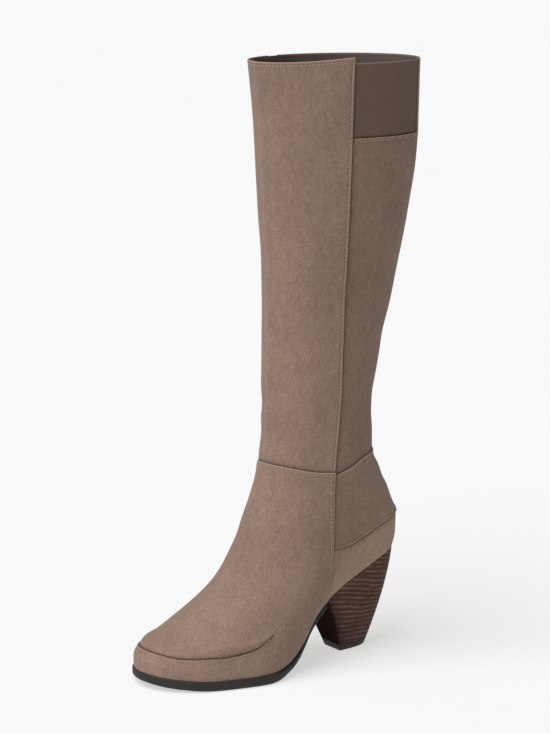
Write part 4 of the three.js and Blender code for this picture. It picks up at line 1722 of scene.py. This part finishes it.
def makePull():
    form = pullForm
    dark = makeMetal("darkGunmetal", colour(58, 58, 62), colour(104, 104, 108), 0.32)
    angles = np.linspace(0, fullTurn, 48, endpoint=False)
    across = form["halfWidth"] * np.sin(angles)
    up = form["tabCentre"] + form["halfHeight"] * np.cos(angles)
    outline = list(zip(across, up))
    tab = makePlate("pullTab", outline, form["thickness"], 0.3)
    faces = [face for face in tab.data.polygons if abs(face.normal.x) > 0.9 and face.area > 30 * mm**2]
    flat = np.zeros(len(tab.data.polygons), bool)
    flat[[face.index for face in faces]] = True
    editMesh(
        tab,
        flat,
        lambda: bpy.ops.mesh.inset(thickness=1.1 * mm, depth=0),
        lambda: bpy.ops.mesh.inset(thickness=0.3 * mm, depth=-0.32 * mm),
    )
    ring = makeWire("pullRing", form["ring"], form["wire"], form["stretch"])
    ring.data.transform(Matrix.Translation((0, 0, -form["ring"] * form["stretch"] * mm)))
    neck = makePlate("pullNeck", [(-1.7, -7.4), (-1.2, -5), (1.2, -5), (1.7, -7.4)], 1.0, 0.25)
    piece = joinPieces("zipPull", [tab, ring, neck])
    toBoot(piece)
    smoothFaces(piece, 45)
    finishPiece(piece, "pull", "gunmetal", dark, "zip_pull")


makeTape()
makeCoil()
makeSlider()
makePull()
print("zip made")

# camera, floor and light
studio = {
    "distance": 1772,
    "azimuth": 52.7,
    "height": 594,
    "lookAzimuth": 54.4,
    "lookDown": 11.6,
    "lens": 113.3,
    "floor": 30,
    "sky": 0.2,
    "horizon": 0.95,
    "key": 3.4,
    "keyFrom": (0.08, -0.51, 0.855),
    "keySoftness": 50,
    "floorGlow": 0.58,
}


def makeCamera():
    azimuth, look, down = (math.radians(studio[key]) for key in ("azimuth", "lookAzimuth", "lookDown"))
    data = bpy.data.cameras.new("studioCamera")
    data.lens = studio["lens"]
    data.clip_end = 100
    camera = bpy.data.objects.new("studioCamera", data)
    bpy.context.scene.collection.objects.link(camera)
    reach = studio["distance"]
    camera.location = place((reach * math.sin(azimuth), -reach * math.cos(azimuth), studio["height"]))
    aim = Vector((-math.sin(look) * math.cos(down), math.cos(look) * math.cos(down), -math.sin(down)))
    camera.rotation_euler = aim.to_track_quat("-Z", "Y").to_euler()
    bpy.context.scene.camera = camera


def makeFloor():
    bpy.ops.object.select_all(action="DESELECT")
    bpy.ops.mesh.primitive_plane_add(size=2 * studio["floor"], location=(0, 0, 0))
    floor = bpy.context.object
    floor.name = "studioFloor"
    finish = Finish("paleFloor", {"Roughness": 0.9, "Specular IOR Level": 0.1})
    cloud = finish.noise(finish.here(), 400, detail=1.0)
    tone = finish.blend((0.315, 0.315, 0.317, 1), (0.335, 0.335, 0.337, 1), cloud)
    finish.shader.inputs["Emission Color"].default_value = (1, 1, 1, 1)
    finish.shader.inputs["Emission Strength"].default_value = studio["floorGlow"]
    floor.data.materials.append(finish.shade({"Base Color": tone}))


def makeLight():
    world = bpy.data.worlds.new("studioSky")
    world.use_nodes = True
    tree = world.node_tree
    # what is seen past the floor is as pale as the floor, but lights less
    rays = tree.nodes.new("ShaderNodeLightPath")
    strength = tree.nodes.new("ShaderNodeMix")
    strength.inputs[2].default_value = studio["sky"]
    strength.inputs[3].default_value = studio["horizon"]
    tree.links.new(rays.outputs["Is Camera Ray"], strength.inputs[0])
    tree.links.new(strength.outputs[0], tree.nodes["Background"].inputs["Strength"])
    tree.nodes["Background"].inputs["Color"].default_value = (1, 1, 1, 1)
    bpy.context.scene.world = world
    data = bpy.data.lights.new("softKey", "SUN")
    data.energy = studio["key"]
    data.angle = math.radians(studio["keySoftness"])
    key = bpy.data.objects.new("softKey", data)
    bpy.context.scene.collection.objects.link(key)
    key.rotation_euler = Vector(studio["keyFrom"]).to_track_quat("Z", "Y").to_euler()
    bpy.context.scene.view_settings.view_transform = "Standard"


makeCamera()
makeFloor()
makeLight()
print("studio ready")
